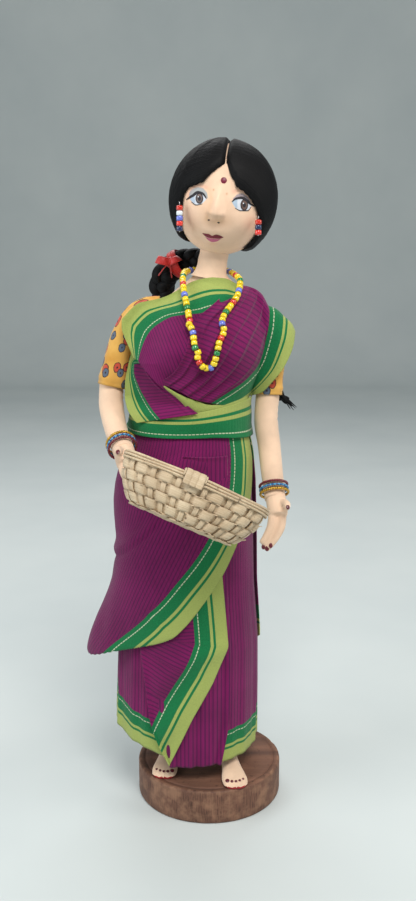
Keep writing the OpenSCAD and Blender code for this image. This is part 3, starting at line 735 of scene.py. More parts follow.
# outer wrap
LOW = [[-348, 86], [-330, 80], [-300, 78], [-270, 77], [-230, 77], [-200, 79], [-173, 81.3], [-142, 90.8], [-124.5, 95.3], [-110.5, 98.7], [-100, 102], [-90, 108.5], [-75, 121], [-60, 134], [-45, 149], [-30, 165], [-20, 187], [-14, 204.5]]


TURN_UP = [[-348, 0], [-230, 0], [-222, 3], [-200, 26], [-175, 26], [-141, 17.4], [-118, 8], [-98, 0], [-14, 0]]


def outer_wrap():
    A = np.r_[np.linspace(-348, -200, 120), np.linspace(-199, -14, 240)]
    S = np.linspace(0, 1, 150) ** 1.15
    a, s = np.meshgrid(A, S)
    lo = crv(a, LOW)
    turn = np.interp(a, [q[0] for q in TURN_UP], [q[1] for q in TURN_UP])
    zu = lo - turn + (205.2 - lo + turn) * s
    d = zu - lo + turn
    under = np.clip(turn - d, 0, None)
    z = np.where(d < turn, lo + under * 0.85, zu)
    # long soft folds that fan out of the tuck at the left hip
    U = (a + 14) * 0.56
    ph = np.degrees(np.arctan2(U, -(z - 206)))
    rho = np.hypot(U, z - 206)
    fan = smoothstep(14, 70, rho)
    front = smoothstep(-250, -200, a)
    f = 0.95 * np.sin(np.radians(ph) * 9.5 + 0.9) + 0.6 * np.sin(np.radians(ph) * 17 + 2.2) + 0.25 * fbm(ph / 4, 5)
    o = 3.9 + f * fan * front * 0.95
    o = o + (0.9 * np.sin(np.radians(a) * 14) + 0.5 * np.sin(np.radians(a) * 23 + 1)) * (1 - front) * smoothstep(205, 120, z) + 0.3
    # crease over the thigh
    P0 = KP(z, a, o)
    x = P0[..., 0]
    lx = (x + 52) / 25
    line = (z - 133.5) - 24.6 * np.clip(lx, 0, 1.3) ** 0.92
    on = smoothstep(-0.6, 0.1, lx) * (1 - smoothstep(0.8, 1.25, lx)) * (P0[..., 1] < 6)
    o = o + on * (1.1 * np.exp(-((line - 3.2) / 3.2) ** 2) - 0.8 * np.exp(-((line + 0.8) / 1.6) ** 2))
    # the cloth stands off at the thigh, and its corner turns under
    w = bell(wrapdeg(a) + 178, 34)
    flare = (3.5 + 9.0 * w) * smoothstep(125, 80, z) * bell(wrapdeg(a) + 180, 62)
    o = o + flare
    # a fold that sags just above the corner
    o = o + 1.3 * bell(wrapdeg(a) + 150, 16) * np.exp(-((z - 88) / 7) ** 2)
    o = o - 1.1 * bell(wrapdeg(a) + 163, 9) * np.exp(-((z - 97) / 12) ** 2)
    # the hem is turned under along the lower right
    ou = o
    o = o - 1.7 * smoothstep(0, 2.5, under) - 0.4 * np.exp(-((d - turn) / 1.4) ** 2) * (turn > 0.5)
    P = KP(z, a, o)
    P[..., 0] += -1.2 * bell(wrapdeg(a) + 180, 60) * smoothstep(140, 100, z)
    Pu = KP(np.where(d < turn, zu, z), a, ou)
    uv = edge_uv(Pu, Pu[0])
    stripe = np.radians(a + 348) * 40 + 0.466 * softplus(190 - z)
    uv[..., 0] = np.where(uv[..., 1] > 18.2, stripe, uv[..., 0])
    return cloth("sari_outer_wrap_cloth", P, uv, 0.45)


def tuck_seam():
    """The turned-over edge of the wrap below the waist, at the right of the front."""
    n = 60
    x = np.linspace(-13, 9, n)
    top = 194.6 - 0.6 * smoothstep(-13, 5, x)
    Z = np.linspace(0, 1, 18)
    xx = np.broadcast_to(x[None], (18, n))
    zz = top[None] - (1 - Z)[:, None] * 15 * np.clip((x[None] + 13.5) / 10, 0.05, 1)
    o = 4.9 - 0.9 * (1 - Z)[:, None] ** 0.7 + 0.5 * np.exp(-((1 - Z)[:, None] / 0.08) ** 2)
    P = np.stack([xx, YF(xx, zz, o), zz], -1)
    uv = np.stack([xx + 40, np.full_like(xx, 60)], -1)
    return cloth("sari_tuck_cloth", P, uv, 0.35, M_SARI_PLAIN)


# waist band
def waist_band():
    A = np.linspace(-212, 148, 300)
    S = np.linspace(0, 1, 26)
    a, s = np.meshgrid(A, S)
    x0 = KP(212, a, 5.5)[..., 0]
    fr = np.sin(np.radians(a)) < 0
    zb = np.where(fr, crv(x0, [[-44, 203.5], [-36, 203.2], [-20, 203.2], [0, 203.4], [22, 200.5]]), 205.0)
    zt = np.where(fr, crv(x0, [[-44, 214.5], [-30, 215.0], [-12, 215.6], [4, 217.6], [22, 221.0]]), 217.5)
    k = smoothstep(-8, 8, (np.abs(wrapdeg(a + 90)) - 90))
    z = zb + (zt - zb) * s
    o = 5.1 + 0.55 * np.sin(s * math.pi) + 0.35 * np.sin(np.radians(a) * 5 + s * 2.4) + 0.25 * fbm(a / 9, 8) * (1 - s)
    o = o + 0.6 * np.exp(-(s / 0.09) ** 2)
    P = KP(z, a, o)
    u = np.r_[0, np.cumsum(np.linalg.norm(np.diff(P[12], axis=0), axis=1))]
    uv = np.stack(np.meshgrid(u, S), -1)
    uv[..., 1] = (1 - s) * 13.4 + 3.6
    return cloth("sari_waist_band_cloth", P, uv, 0.4)


# chest, drawn on the front view
def flank(x, z):
    return -14 - 0.72 * (x + 43) + 0.62 * np.clip(z - 246, -6, 40)


def chest_form(x, z, o):
    b = YF(x, z, o)
    w = 1 - smoothstep(-31, -17, x)
    return b * (1 - w) + softmin(b, np.minimum(flank(np.minimum(x, -17), z), -2.0), 4.0) * w


E1 = [[132.8, 356.8], [128.8, 347], [124.3, 336.5], [121.6, 327], [121.7, 320.3], [125.1, 315.6], [131, 309], [139.1, 302.8], [151.7, 300.2], [160, 298.2], [168.6, 295.1], [179.8, 288.8], [193.8, 281], [203, 278.6], [212.1, 277.4], [224.7, 278.3], [237, 283.9]]
B1 = [[141, 365], [158.8, 384.5], [185, 398], [214, 390], [236, 350], [240, 320]]
I1 = [[138.4, 361], [140.5, 352.6], [144, 342.8], [150.3, 331.6], [160.2, 323.1], [172.8, 316.8], [188.2, 314.7], [200, 313.6], [212, 310], [234.5, 306.3]]


def loft3(E, I, B, nr, nc, ri):
    """Grid between an edge, the inner line of its border and a far line."""
    s, r = np.linspace(0, 1, nc), np.linspace(0, 1, nr)
    e, i, b = poly_at(E, s)[None], poly_at(I, s)[None], poly_at(B, s)[None]
    R = r[:, None, None]
    G = np.where(R < ri, e + (i - e) * np.clip(R / ri, 0, 1), i + (b - i) * np.clip((R - ri) / (1 - ri), 0, 1))
    far = np.linalg.norm(G - i, axis=-1) * 0.465
    v = np.where(r[:, None] < ri, 17.4 * r[:, None] / ri, 17.4 + far)
    return G, s, r, v


def along_edge(P, v):
    u = np.r_[0, np.cumsum(np.linalg.norm(np.diff(P[0], axis=0), axis=1))]
    return np.stack([np.broadcast_to(u[None], v.shape), v], -1)


def ruled(E, B, nr, nc, pe=1.0):
    s = np.linspace(0, 1, nc)
    r = np.linspace(0, 1, nr) ** pe
    e, b = poly_at(E, s), poly_at(B, s)
    return e[None] * (1 - r)[:, None, None] + b[None] * r[:, None, None], s, r


def chest_right():
    G, s, r, v = loft3(E1, I1, B1, 96, 190, 0.3)
    yl = np.interp(s, [0, 0.14, 0.2, 0.3, 0.5, 0.72, 0.86, 1], [-17, -14, -12.5, -10, -8.5, -9.0, -10.5, -9.0])[None]
    near = smoothstep(0, 0.2, r)[:, None]
    # fan of shallow folds over the bust, gathering at the lower right
    U, V = G[..., 0], G[..., 1]
    ph = np.degrees(np.arctan2(V - 408, U - 196))
    f = 0.45 * np.sin(np.radians(ph) * 14) * smoothstep(0.3, 0.7, r)[:, None] + 0.9 * np.exp(-((ph + 112) / 7) ** 2) * smoothstep(0.35, 0.6, r)[:, None]
    dent = 0.8 * np.exp(-(((U - 188) / 13) ** 2 + ((V - 330) / 22) ** 2))

    def surf(x, z):
        y = yl * (1 - near) + chest_form(x, z, 2.7 + f - dent) * near
        return np.where(x > -26, np.minimum(y, YF(x, z, 0.8 + 1.2 * near)), y)
    P = view(U, V, surf)
    return cloth("sari_chest_cloth", P, along_edge(P, v), 0.4, flip=True)


E3 = [[131.2, 352.5], [127.8, 367], [125.0, 383.5], [124.8, 396], [127, 408], [131, 416], [136.5, 423]]
I3 = [[135.2, 353.0], [134.2, 370.8], [139.1, 386.3], [147.5, 401.7], [153.5, 411], [160.9, 419.5]]
B3 = [[140.5, 355.5], [146, 367], [158.8, 383], [178, 398], [198, 413.8]]


def chest_low():
    G, s, r, v = loft3(E3, I3, B3, 80, 100, 0.42)
    U, V = G[..., 0], G[..., 1]
    y0 = np.interp(s, [0, 0.3, 0.6, 1], [-14, -12, -11.5, -16])[None]
    near = smoothstep(0, 0.5, r)[:, None]
    rim = 0.8 * np.exp(-((1 - r) / 0.035) ** 2) + 0.5 * np.exp(-((1 - r - 0.12) / 0.03) ** 2)
    f = rim[:, None] + 0.4 * np.sin(r * 9)[:, None] * smoothstep(0.2, 0.6, s)[None]

    def surf(x, z):
        over = 3.7 * smoothstep(221, 213, z)
        yf = YF(x, z, 3.5 + f + over)
        w = 1 - smoothstep(-32, -20, x)
        b = yf * (1 - w) + softmin(yf, np.minimum(-12.5 - 0.75 * (np.minimum(x, -20) + 40), -2.0), 4.0) * w
        return (y0 - over * 1.5) * (1 - near) + b * near
    P = view(U, V, surf)
    w = smoothstep(0, 0.16, s)[None]
    return cloth("sari_cross_cloth", P, along_edge(P, np.where(v < 17.4, v * w, v - 17.4 * (1 - w))), 0.4, flip=True)


def chest_underside():
    top = [[157.5, 381.5], [174.2, 391.6], [191, 399.3], [213, 405.0], [232, 401], [249, 396]]
    bot = [[157.5, 382.6], [176, 397], [198, 414.2], [214, 412], [232, 407], [249, 404]]
    G, s, r = ruled(top, bot, 22, 90)

    def surf(x, z):
        return YF(x, z, 4.6 + 0.5 * np.sin(r * math.pi)[:, None] - 0.4 * s[None])
    P = view(G[..., 0], G[..., 1], surf)
    uv = np.stack([np.broadcast_to(s[None] * 50, G.shape[:2]), np.broadcast_to(1.0 + r[:, None] * 4.6, G.shape[:2])], -1)
    return cloth("sari_turned_edge_cloth", P, uv, 0.35, flip=True)


CL = [[159.5, 382.5], [174.2, 372.2], [181.2, 361], [186.1, 349.8], [189, 337], [194.5, 321.7], [202.2, 313.3], [209.3, 307.7], [221.9, 296.5], [233.1, 287.0]]
CJ = [[210.7, 403.2], [230.3, 390.5], [244.3, 380.7], [258.4, 363.8], [264.7, 344.2], [268.9, 323.1], [269.3, 311.9], [267.9, 305.6]]
CR = [[248, 396], [252.8, 394.7], [259.8, 393.3], [272.4, 382], [285, 365.2], [293.5, 344.2], [295.1, 331.6]]
CB1 = [[159.5, 382.5], [179.8, 391.5], [193.8, 399.2], [210.7, 403.2]]
CB2 = [[210.7, 403.2], [226.8, 405.2], [238.7, 399], [248, 396]]
CT1 = [[233.1, 287.0], [242.9, 286.0], [252.8, 288.3], [261.2, 293.9], [267.9, 305.6]]
CT2 = [[267.9, 305.6], [276.5, 309.5], [283.6, 316.1], [292, 324.5], [295.1, 331.6]]


def coons(L, R, B, Tp, nt, ns):
    t, s = np.linspace(0, 1, nt)[:, None, None], np.linspace(0, 1, ns)[None, :, None]
    l, r, b, p = (poly_at(c, np.linspace(0, 1, n)) for c, n in ((L, nt), (R, nt), (B, ns), (Tp, ns)))
    lin = (1 - s) * l[:, None] + s * r[:, None]
    lon = (1 - t) * b[None] + t * p[None]
    bil = (1 - s) * (1 - t) * b[0] + s * (1 - t) * b[-1] + (1 - s) * t * p[0] + s * t * p[-1]
    return lin + lon - bil


def pallu():
    nt, n1, n2 = 130, 130, 50
    G1, G2 = coons(CL, CJ, CB1, CT1, nt, n1), coons(CJ, CR, CB2, CT2, nt, n2)
    G = np.concatenate([G1, G2[:, 1:]], 1)
    t = np.linspace(0, 1, nt)[:, None]
    s1 = np.r_[np.linspace(0, 1, n1), np.ones(n2 - 1)][None]
    s2 = np.r_[np.zeros(n1), np.linspace(0, 1, n2)[1:]][None]
    v = 17.4 * (1 - s2) + np.r_[np.ones(n1), np.zeros(n2 - 1)][None] * np.linalg.norm(G - G[:, n1 - 1:n1], axis=-1) * 0.465
    # pleats: a slow rise, then a step down onto the next one
    q = (s1 * 0.98 + 0.02 * np.sin(t * 5)) * 5.2
    fr = q - np.floor(q)
    saw = np.where(fr < 0.84, (fr / 0.84) ** 1.4, 1 - ((fr - 0.84) / 0.16))
    amp = smoothstep(0.05, 0.25, s1) * (1 - smoothstep(0.93, 1.0, s1)) * (0.6 + 0.6 * np.sin(np.clip(t, 0, 1) * math.pi) + 0.35 * smoothstep(0.8, 1, t))
    h = amp * (1.55 * saw + 0.12 * np.exp(-((fr - 0.84) / 0.07) ** 2)) + 0.25 * np.sin(s1 * 22 + t * 3) * (1 - smoothstep(0.0, 0.4, s1))
    h = h + 0.7 * np.exp(-(s1 / 0.035) ** 2) * smoothstep(0, 0.1, t) + 0.35 * np.sin(s2 * 6.5 + t * 4) * smoothstep(0, 0.3, s2)
    t0 = 0.70 + 0.14 * s2
    up = 1 - np.sqrt(np.clip(1 - np.clip((t - t0) / (1 - t0), 0, 1) ** 2, 0, 1))
    # the outer edge stands off the sleeve
    flare = 1.6 * s2 * np.sin(np.clip(t, 0, 1) * math.pi)

    def surf(x, z):
        body = YF(x, z, 4.4 + h)
        q = np.clip(1 - ((x - 33) / (10.8 + flare * 0.4)) ** 2, 0, 1)
        arm = -(9.6 + flare + h * 0.6) * np.sqrt(q)
        arm = np.where(x > 33, np.minimum(arm, -3.0 - flare), arm)
        y = softmin(body, arm, 7.0)
        return y * (1 - up) + (-0.5 - 0.4 * h) * up
    P = view(G[..., 0], G[..., 1], surf)
    P = relax(P, 1)
    # over the shoulder and a little way down the back
    nb = 20
    back = P[::-1][1:nb + 1].copy()
    e = np.linspace(0, 1, nb)[:, None]
    bx, bz = back[..., 0], back[..., 2]
    hold = (tab("rb", bz) + 4.4) * np.sqrt(np.clip(1 - ((bx - tab("cx", bz)) / (tab("ra", bz) + 5)) ** 2, 0, 1))
    back[..., 1] = np.minimum(-back[..., 1] * 0.95, np.maximum(hold, 8.6))
    P = np.concatenate([P, back], 0)
    v = np.concatenate([v, v[::-1][1:nb + 1]], 0)
    L = np.r_[0, np.cumsum(np.linalg.norm(np.diff(P[:, n1 + n2 // 2], axis=0), axis=1))]
    uv = np.stack([np.broadcast_to(L[:, None], v.shape), v], -1)
    return cloth("sari_pallu_cloth", P, uv, 0.4)


def back_fall():
    Z = np.linspace(150, 271, 100)
    S = np.linspace(0, 1, 110)
    z, s = np.meshgrid(Z, S, indexing="ij")
    wide = smoothstep(262, 200, z)
    a0 = 82 + 12 * wide
    a1 = 14 + 2 * wide
    a = a0 + (a1 - a0) * s
    q = s * 6.5
    fr = q - np.floor(q)
    saw = np.where(fr < 0.84, (fr / 0.84) ** 1.3, 1 - (fr - 0.84) / 0.16)
    o = 5.6 + 1.3 * saw * (1 - smoothstep(0.66, 0.76, s)) + 0.5 * np.sin(s * 12 + z * 0.03)
    o = o + 1.2 * smoothstep(175, 150, z) * np.sin(s * 9 + 1)
    cz = z + 2.4 * np.sin(s * 7) * smoothstep(170, 150, z)
    P = KP(cz, a, o)
    uv = edge_uv(P, P[:, -1])
    return cloth("sari_back_fall_cloth", P, uv, 0.4, flip=False)
# ------------------------------------------------------------------ soft body
ARM_R = [[-37, 0, 260], [-41, 0, 252], [-46, -0.5, 240], [-50, -1.5, 227], [-50.2, -4, 217.5], [-48.6, -10, 210.2], [-45.8, -20, 203.8], [-41.6, -32, 197.4]]
ARM_RR = [6.2, 6.5, 6.4, 6.2, 6.3, 6, 5.6, 5.3]
ARM_L = [[33.5, 0, 259], [32.6, 0, 249], [31.5, -0.5, 237], [30, -1.6, 222], [29.2, -4.5, 208], [30.6, -9.5, 196], [31.8, -16.5, 183], [32.9, -24.5, 171.8]]
ARM_RL = [3.6, 4.9, 6, 6, 6.1, 5.8, 5.5, 5.2]


def loft_ring(name, rings, mat, wrap=True, cap=(False, False), uv=None):
    P = np.asarray(rings, float)
    R, C = P.shape[:2]
    verts, faces = P.reshape(-1, 3), grid_faces(R, C, wrap_c=wrap)
    if cap[0]:
        verts = np.vstack([verts, P[0].mean(0)])
        k = len(verts) - 1
        faces += [[k, (j + 1) % C, j] for j in range(C)]
    if cap[1]:
        verts = np.vstack([verts, P[-1].mean(0)])
        k = len(verts) - 1
        faces += [[k, (R - 1) * C + j, (R - 1) * C + (j + 1) % C] for j in range(C)]
    ob = make_obj(name, verts, faces, mat)
    if uv is None:
        du = np.r_[0, np.cumsum(np.linalg.norm(np.diff(P[R // 2], axis=0), axis=1))]
        dv = np.r_[0, np.cumsum(np.linalg.norm(np.diff(P[:, 0], axis=0), axis=1))]
        uv = np.stack(np.meshgrid(du, dv), -1)
    uv = np.vstack([uv.reshape(-1, 2)] + [[[0, 0]]] * (int(cap[0]) + int(cap[1])))
    set_uv(ob, uv)
    return ob


def torso_skin():
    Z = np.concatenate([np.linspace(172, 262, 36), np.linspace(263.5, 281.3, 22)])
    A = np.linspace(0, 360, 121)[:-1]
    a, z = np.meshgrid(A, Z)
    o = -1.0 + 0.9 * smoothstep(266, 279, z) + 0.12 * fbm(a / 30 + z / 9, 2)
    return loft_ring("torso_cloth", KP(z, a, o), M_SKIN, cap=(True, False))


SPINE = np.array([0.4, -1.0, 280.5])
LEAN = math.radians(9.7)
TURN = math.radians(-5.5)
AT_NECK = np.array((Matrix.Rotation(LEAN, 3, "Y")))
AT_HEAD = AT_NECK @ np.array(Matrix.Rotation(TURN, 3, "Z"))


def to_head(p):
    return np.asarray(p, float) @ AT_HEAD.T + SPINE


def neck():
    prof = [[-0.5, 9.6], [1.0, 8.6], [2.6, 7.9], [5, 7.45], [8, 7.3], [12, 7.2], [16, 7.0], [20, 6.6]]
    H = np.linspace(-0.5, 18, 30)
    A = np.linspace(0, 360, 73)[:-1]
    a, h = np.meshgrid(np.radians(A), H)
    r = crv(h, prof) + 0.12 * np.sin(h * 1.1 + np.cos(a)) * smoothstep(3, 9, h)
    P = np.stack([r * np.cos(a), r * np.sin(a) * 0.97, h], -1) @ AT_NECK.T + SPINE
    return loft_ring("neck_cloth", P, M_SKIN)


def bodice():
    Z = np.linspace(221, 268.5, 50)
    A = np.linspace(0, 360, 161)[:-1]
    a, z = np.meshgrid(A, Z)
    side = bell(wrapdeg(a - 180), 38)
    top = 262.0 + 6.3 * side - 5.5 * bell(wrapdeg(a + 90), 40)
    zz = 221 + (top - 221) * ((z - 221) / 47.5)
    o = -0.15 + 0.25 * np.sin(np.radians(a) * 7 + zz * 0.2) * smoothstep(262, 240, zz)
    ob = loft_ring("bodice_cloth", KP(zz, a, o), M_PRINT)
    solid(ob, 0.4)
    return apply_mods(ob)


def arm(name, path, rad, seed):
    n = 60
    t = np.linspace(0.0, 1, n)
    p = poly_at(path, t)
    d = np.r_[0, np.cumsum(np.linalg.norm(np.diff(np.asarray(path, float), axis=0), axis=1))]
    r = crv(t, np.stack([d / d[-1], rad], 1))
    tn, u, v = frames(p, (1, 0, 0))
    A = np.linspace(0, 2 * np.pi, 49)[:-1]
    el = np.exp(-((t - 0.50) / 0.06) ** 2)
    rr = r[:, None] * (1 + 0.012 * fbm(A * 3 + t[:, None] * 9, seed))
    for k, c in enumerate((0.47, 0.505, 0.54)):
        rr = rr - 0.45 * np.exp(-((t[:, None] - c - 0.008 * np.cos(A)) / 0.008) ** 2) * (0.5 + 0.5 * np.cos(A - 1.2 - k * 0.3)) ** 2
    P = p[:, None] + u[:, None] * (rr * np.cos(A))[..., None] + v[:, None] * (rr * np.sin(A))[..., None]
    return loft_ring(name, P, M_SKIN, cap=(True, True))


def sleeve(name, path, rad, side):
    n = 46
    t = np.linspace(0, 1, n)
    p = poly_at(path, t)
    r = np.asarray(poly_at(np.stack([np.arange(len(rad)) * 10.0, rad], 1), t))[:, 1]
    tn, u, v = frames(p, (1, 0, 0))
    A = np.linspace(0, 2 * np.pi, 81)[:-1]
    gather = 0.42 * np.sin(A * 13 + 2 * t[:, None]) * smoothstep(0.55, 0.0, t)[:, None]
    rr = r[:, None] + gather + 0.35 * np.sin(A * 4 + t[:, None] * 6) * smoothstep(0.2, 0.6, t)[:, None]
    rr = rr + 0.35 * np.exp(-((t[:, None] - 0.93) / 0.03) ** 2) - 0.4 * np.exp(-((t[:, None] - 0.965) / 0.012) ** 2)
    P = p[:, None] + u[:, None] * (rr * np.cos(A))[..., None] + v[:, None] * (rr * np.sin(A))[..., None]
    ob = loft_ring(name, P, M_PRINT)
    solid(ob, 0.45)
    return apply_mods(ob)


def tube_mesh(path, r, n=14, flat=1.0, ref=(0, 0, 1)):
    return sweep("tmp", resample(path, 22), np.asarray(poly_at(np.stack([np.arange(len(r)) * 5.0, r], 1), np.linspace(0, 1, 22)))[:, 1] * flat,
                 np.asarray(poly_at(np.stack([np.arange(len(r)) * 5.0, r], 1), np.linspace(0, 1, 22)))[:, 1], n=n, ref=ref, uv=False)


def hand_right():
    parts = [tube_mesh([[-42.4, -29.6, 198.7], [-41.0, -34, 195.8], [-39.8, -38.5, 192.6]], [4.9, 5.3, 5.0], flat=1.0)]
    fingers = [([-42.4, -37, 193.4], [-41.2, -42.4, 190.0], [-39.2, -46, 186.6], [-37.2, -47.8, 183.6]),
               ([-40.6, -37, 192.2], [-39.4, -43, 188.6], [-37.4, -46.8, 185.0], [-35.4, -48.6, 181.9]),
               ([-38.8, -36.6, 191.8], [-37.6, -42, 188.2], [-35.9, -45.8, 185.0], [-34.4, -47.6, 182.4]),
               ([-37.2, -36.4, 192.6], [-36, -41, 189.4], [-34.6, -44.2, 186.6], [-33.8, -45.8, 184.6])]
    for f in fingers:
        parts.append(tube_mesh(f, [2.3, 2.1, 1.75, 1.3]))
    parts.append(tube_mesh([[-42.2, -32.5, 197.6], [-43.4, -38, 199.2], [-43.6, -42.5, 200.4], [-43, -46, 199.8]], [2.7, 2.5, 2.1, 1.6]))
    return remesh(join("hand_right_cloth", parts), 0.55, 4)


def hand_left():
    parts = [tube_mesh([[32.8, -23, 174.2], [33.8, -27, 168.8], [34.2, -30, 164.8]], [4.9, 5.2, 4.9])]
    fingers = [([36.4, -28.6, 166.4], [35.8, -32.6, 160.6], [33.0, -35.6, 155.0], [29.6, -36.6, 150.4]),
               ([34.8, -28.6, 165.4], [34.2, -32.4, 159.4], [31.4, -35.0, 153.4], [28.0, -36.0, 148.6]),
               ([33.0, -28.6, 165.4], [32.2, -32.2, 159.4], [29.6, -34.6, 154.0], [26.4, -35.8, 149.6]),
               ([31.6, -29.0, 166.6], [30.6, -32.8, 161.0], [28.2, -35.0, 156.2], [25.6, -36.2, 152.4])]
    for f in fingers:
        parts.append(tube_mesh(f, [2.3, 2.1, 1.75, 1.3]))
    parts.append(tube_mesh([[35.8, -26.6, 169.0], [37.2, -31, 171.2], [38.0, -35, 171.6], [37.9, -38, 170.6]], [2.6, 2.4, 2.0, 1.5]))
    return remesh(join("hand_left_cloth", parts), 0.55, 4)


def nail(name, c, n, r):
    """Painted fingertip: a small domed oval."""
    n = Vector(n).normalized()
    bpy.ops.mesh.primitive_uv_sphere_add(segments=20, ring_count=12, radius=0.001)
    ob = bpy.context.object
    ob.name = name
    q = n.to_track_quat("Z", "Y").to_matrix().to_4x4()
    ob.data.transform(Matrix.Translation(Vector(c) * 0.001) @ q @ Matrix.Diagonal((r[0], r[1], r[2], 1)))
    ob.data.polygons.foreach_set("use_smooth", [True] * len(ob.data.polygons))
    ob.data.materials.append(M_NAIL)
    return ob


def foot(name, ax, ay, yaw):
    k = [[-6.9, 1.2, 2.6], [-6.2, 3.0, 5.4], [-4.2, 4.1, 7.6], [-2, 4.5, 8.4], [2.5, 4.7, 8.1], [8, 5.3, 6.9], [13, 6.2, 5.7], [17, 6.7, 4.7], [20.5, 6.3, 3.9], [22.6, 4.7, 2.9], [23.3, 2.4, 1.8]]
    Y = np.linspace(-6.9, 23.3, 50)
    hw, hh = crv(Y, [[q[0], q[1]] for q in k]), crv(Y, [[q[0], q[2]] for q in k])
    A = np.linspace(0, 2 * np.pi, 49)[:-1]
    zz = hh[:, None] * (0.42 + 0.58 * np.sin(A))
    zz = np.maximum(zz, 0.15 + 0.25 * (np.sin(A) < -0.4) * 0)
    toes = 0.35 * smoothstep(17, 21, Y)[:, None] * np.abs(np.sin(np.cos(A) * hw[:, None] * 1.22)) * (np.sin(A) > 0)
    P = np.stack([hw[:, None] * np.cos(A), -np.broadcast_to(Y[:, None], zz.shape), zz - toes], -1)
    c, s = math.cos(math.radians(yaw)), math.sin(math.radians(yaw))
    P = P @ np.array([[c, s, 0], [-s, c, 0], [0, 0, 1]]) + np.array([ax, ay, BASE_TOP])
    ob = loft_ring(name + "_cloth", P, M_SKIN, cap=(True, True))
    me = ob.data
    me.materials.append(M_ALTA)
    me.materials.append(M_NAIL)
    for p in me.polygons:
        if p.center.z * 1000 < BASE_TOP + 1.25:
            p.material_index = 1
    dots = []
    for i, (dx, dy, rr) in enumerate(((-4.3, 20.0, 1.15), (-2.1, 21.1, 0.8), (0.0, 21.4, 0.75), (2.1, 20.9, 0.72), (4.1, 19.6, 0.65))):
        w = crv(dy, [[q[0], q[1]] for q in k])
        h = crv(dy, [[q[0], q[2]] for q in k])
        zt = h * (0.42 + 0.58 * math.sqrt(max(0.05, 1 - (dx / w) ** 2)))
        x, y = dx if yaw > 0 else -dx, -dy
        wx, wy = ax + x * c + y * -s, ay + x * s + y * c
        wx, wy = ax + x * c - y * s, ay + x * s + y * c
        dots.append(nail("toe", (wx, wy, BASE_TOP + zt - 0.1), (0, -0.45, 0.9), (rr, rr, 0.32)))
    d = join(name + "_nails", dots)
    return ob, d


def leg(name, a, b):
    a, b = np.array(a, float), np.array(b, float)
    ax = (b - a) / np.linalg.norm(b - a)
    prof = [[7.5, 4.2], [9, 4.6], [16, 4.9], [30, 6.4], [48, 8.6], [58, 9], [76, 8.2], [86, 8.6], [110, 10.3], [132, 11.2], [146, 10.2]]
    H = np.linspace(7.5, 146, 50)
    A = np.linspace(0, 2 * np.pi, 41)[:-1]
    r = crv(H, prof)
    u = np.cross(ax, [0, 1, 0])
    u /= np.linalg.norm(u)
    v = np.cross(ax, u)
    P = a + ax * H[:, None, None] + u * (r[:, None] * np.cos(A))[..., None] + v * (r[:, None] * np.sin(A))[..., None]
    return loft_ring(name, P, M_SKIN, cap=(True, True))


def petticoat():
    Z = np.linspace(50, 214, 60)
    A = np.linspace(0, 360, 145)[:-1]
    a, z = np.meshgrid(A, Z)
    o = -0.9 + 0.3 * np.sin(np.radians(a) * 20) * smoothstep(180, 60, z)
    ob = loft_ring("petticoat_cloth", KP(z, a, o), M_PETTI)
    solid(ob, 0.35)
    return apply_mods(ob)


def base():
    r, h = 39.0, BASE_TOP
    prof = [[0, 0.02], [r - 1.2, 0.02], [r - 0.5, 0.25], [r - 0.12, 0.8], [r, 1.6], [r, h - 1.4], [r - 0.15, h - 0.7], [r - 0.6, h - 0.2], [r - 1.3, h - 0.02], [r - 3.1, h], [r - 3.3, h - 0.28], [r - 3.7, h - 0.28], [r - 3.9, h]]
    prof += [[r - 3.9 - q, h] for q in np.linspace(2, r - 4.4, 14)]
    rr = np.array([p[0] for p in prof])
    zz = np.array([p[1] for p in prof])
    seg = 256
    A = np.linspace(0, 2 * np.pi, seg, endpoint=False)
    wob = 1 + 0.0025 * np.sin(A * 2 + 0.7) + 0.0012 * np.sin(A * 5)
    P = np.stack([rr[:, None] * np.cos(A) * wob, rr[:, None] * np.sin(A) * wob, np.broadcast_to(zz[:, None], (len(rr), seg))], -1)
    # the turned edge has a few worn nicks
    for ang, dep, w in ((-1.9, 0.5, 0.03), (-1.1, 0.35, 0.05), (-2.6, 0.4, 0.02), (0.4, 0.5, 0.04), (2.4, 0.4, 0.05)):
        m = dep * np.exp(-((A - ang + np.pi) % (2 * np.pi) - np.pi) ** 2 / w ** 2)
        k = ((zz > h - 1.6) & (rr > r - 2))[:, None]
        P[..., 2] -= k * m
    ob = loft_ring("base_wood", P[::1], M_WOOD, cap=(False, True))
    return ob
# ------------------------------------------------------------------ head
from mathutils.bvhtree import BVHTree

HC = np.array([0, 0, 38.2])
HR, HH = 24.0, 26.7


def head_pt(e, a, o=0.0):
    e, a = np.radians(e), np.radians(a)
    return np.stack([(HR + o) * np.cos(e) * np.sin(a), -(HR + o) * np.cos(e) * np.cos(a), (HH + o) * np.sin(e)], -1) + HC


def project(P):
    d = np.asarray(P, float) - CAM
    yy = d[..., 1] * math.cos(PITCH) - d[..., 2] * math.sin(PITCH)
    zz = d[..., 1] * math.sin(PITCH) + d[..., 2] * math.cos(PITCH)
    return FRONT_W + FOC * d[..., 0] / yy, FRONT_H - FOC * zz / yy


def seg_dist(u, v, pts):
    best = np.full(np.shape(u), 1e9)
    for (ax, ay), (bx, by) in zip(pts[:-1], pts[1:]):
        dx, dy = bx - ax, by - ay
        t = np.clip(((u - ax) * dx + (v - ay) * dy) / (dx * dx + dy * dy), 0, 1)
        best = np.minimum(best, np.hypot(u - ax - t * dx, v - ay - t * dy))
    return best


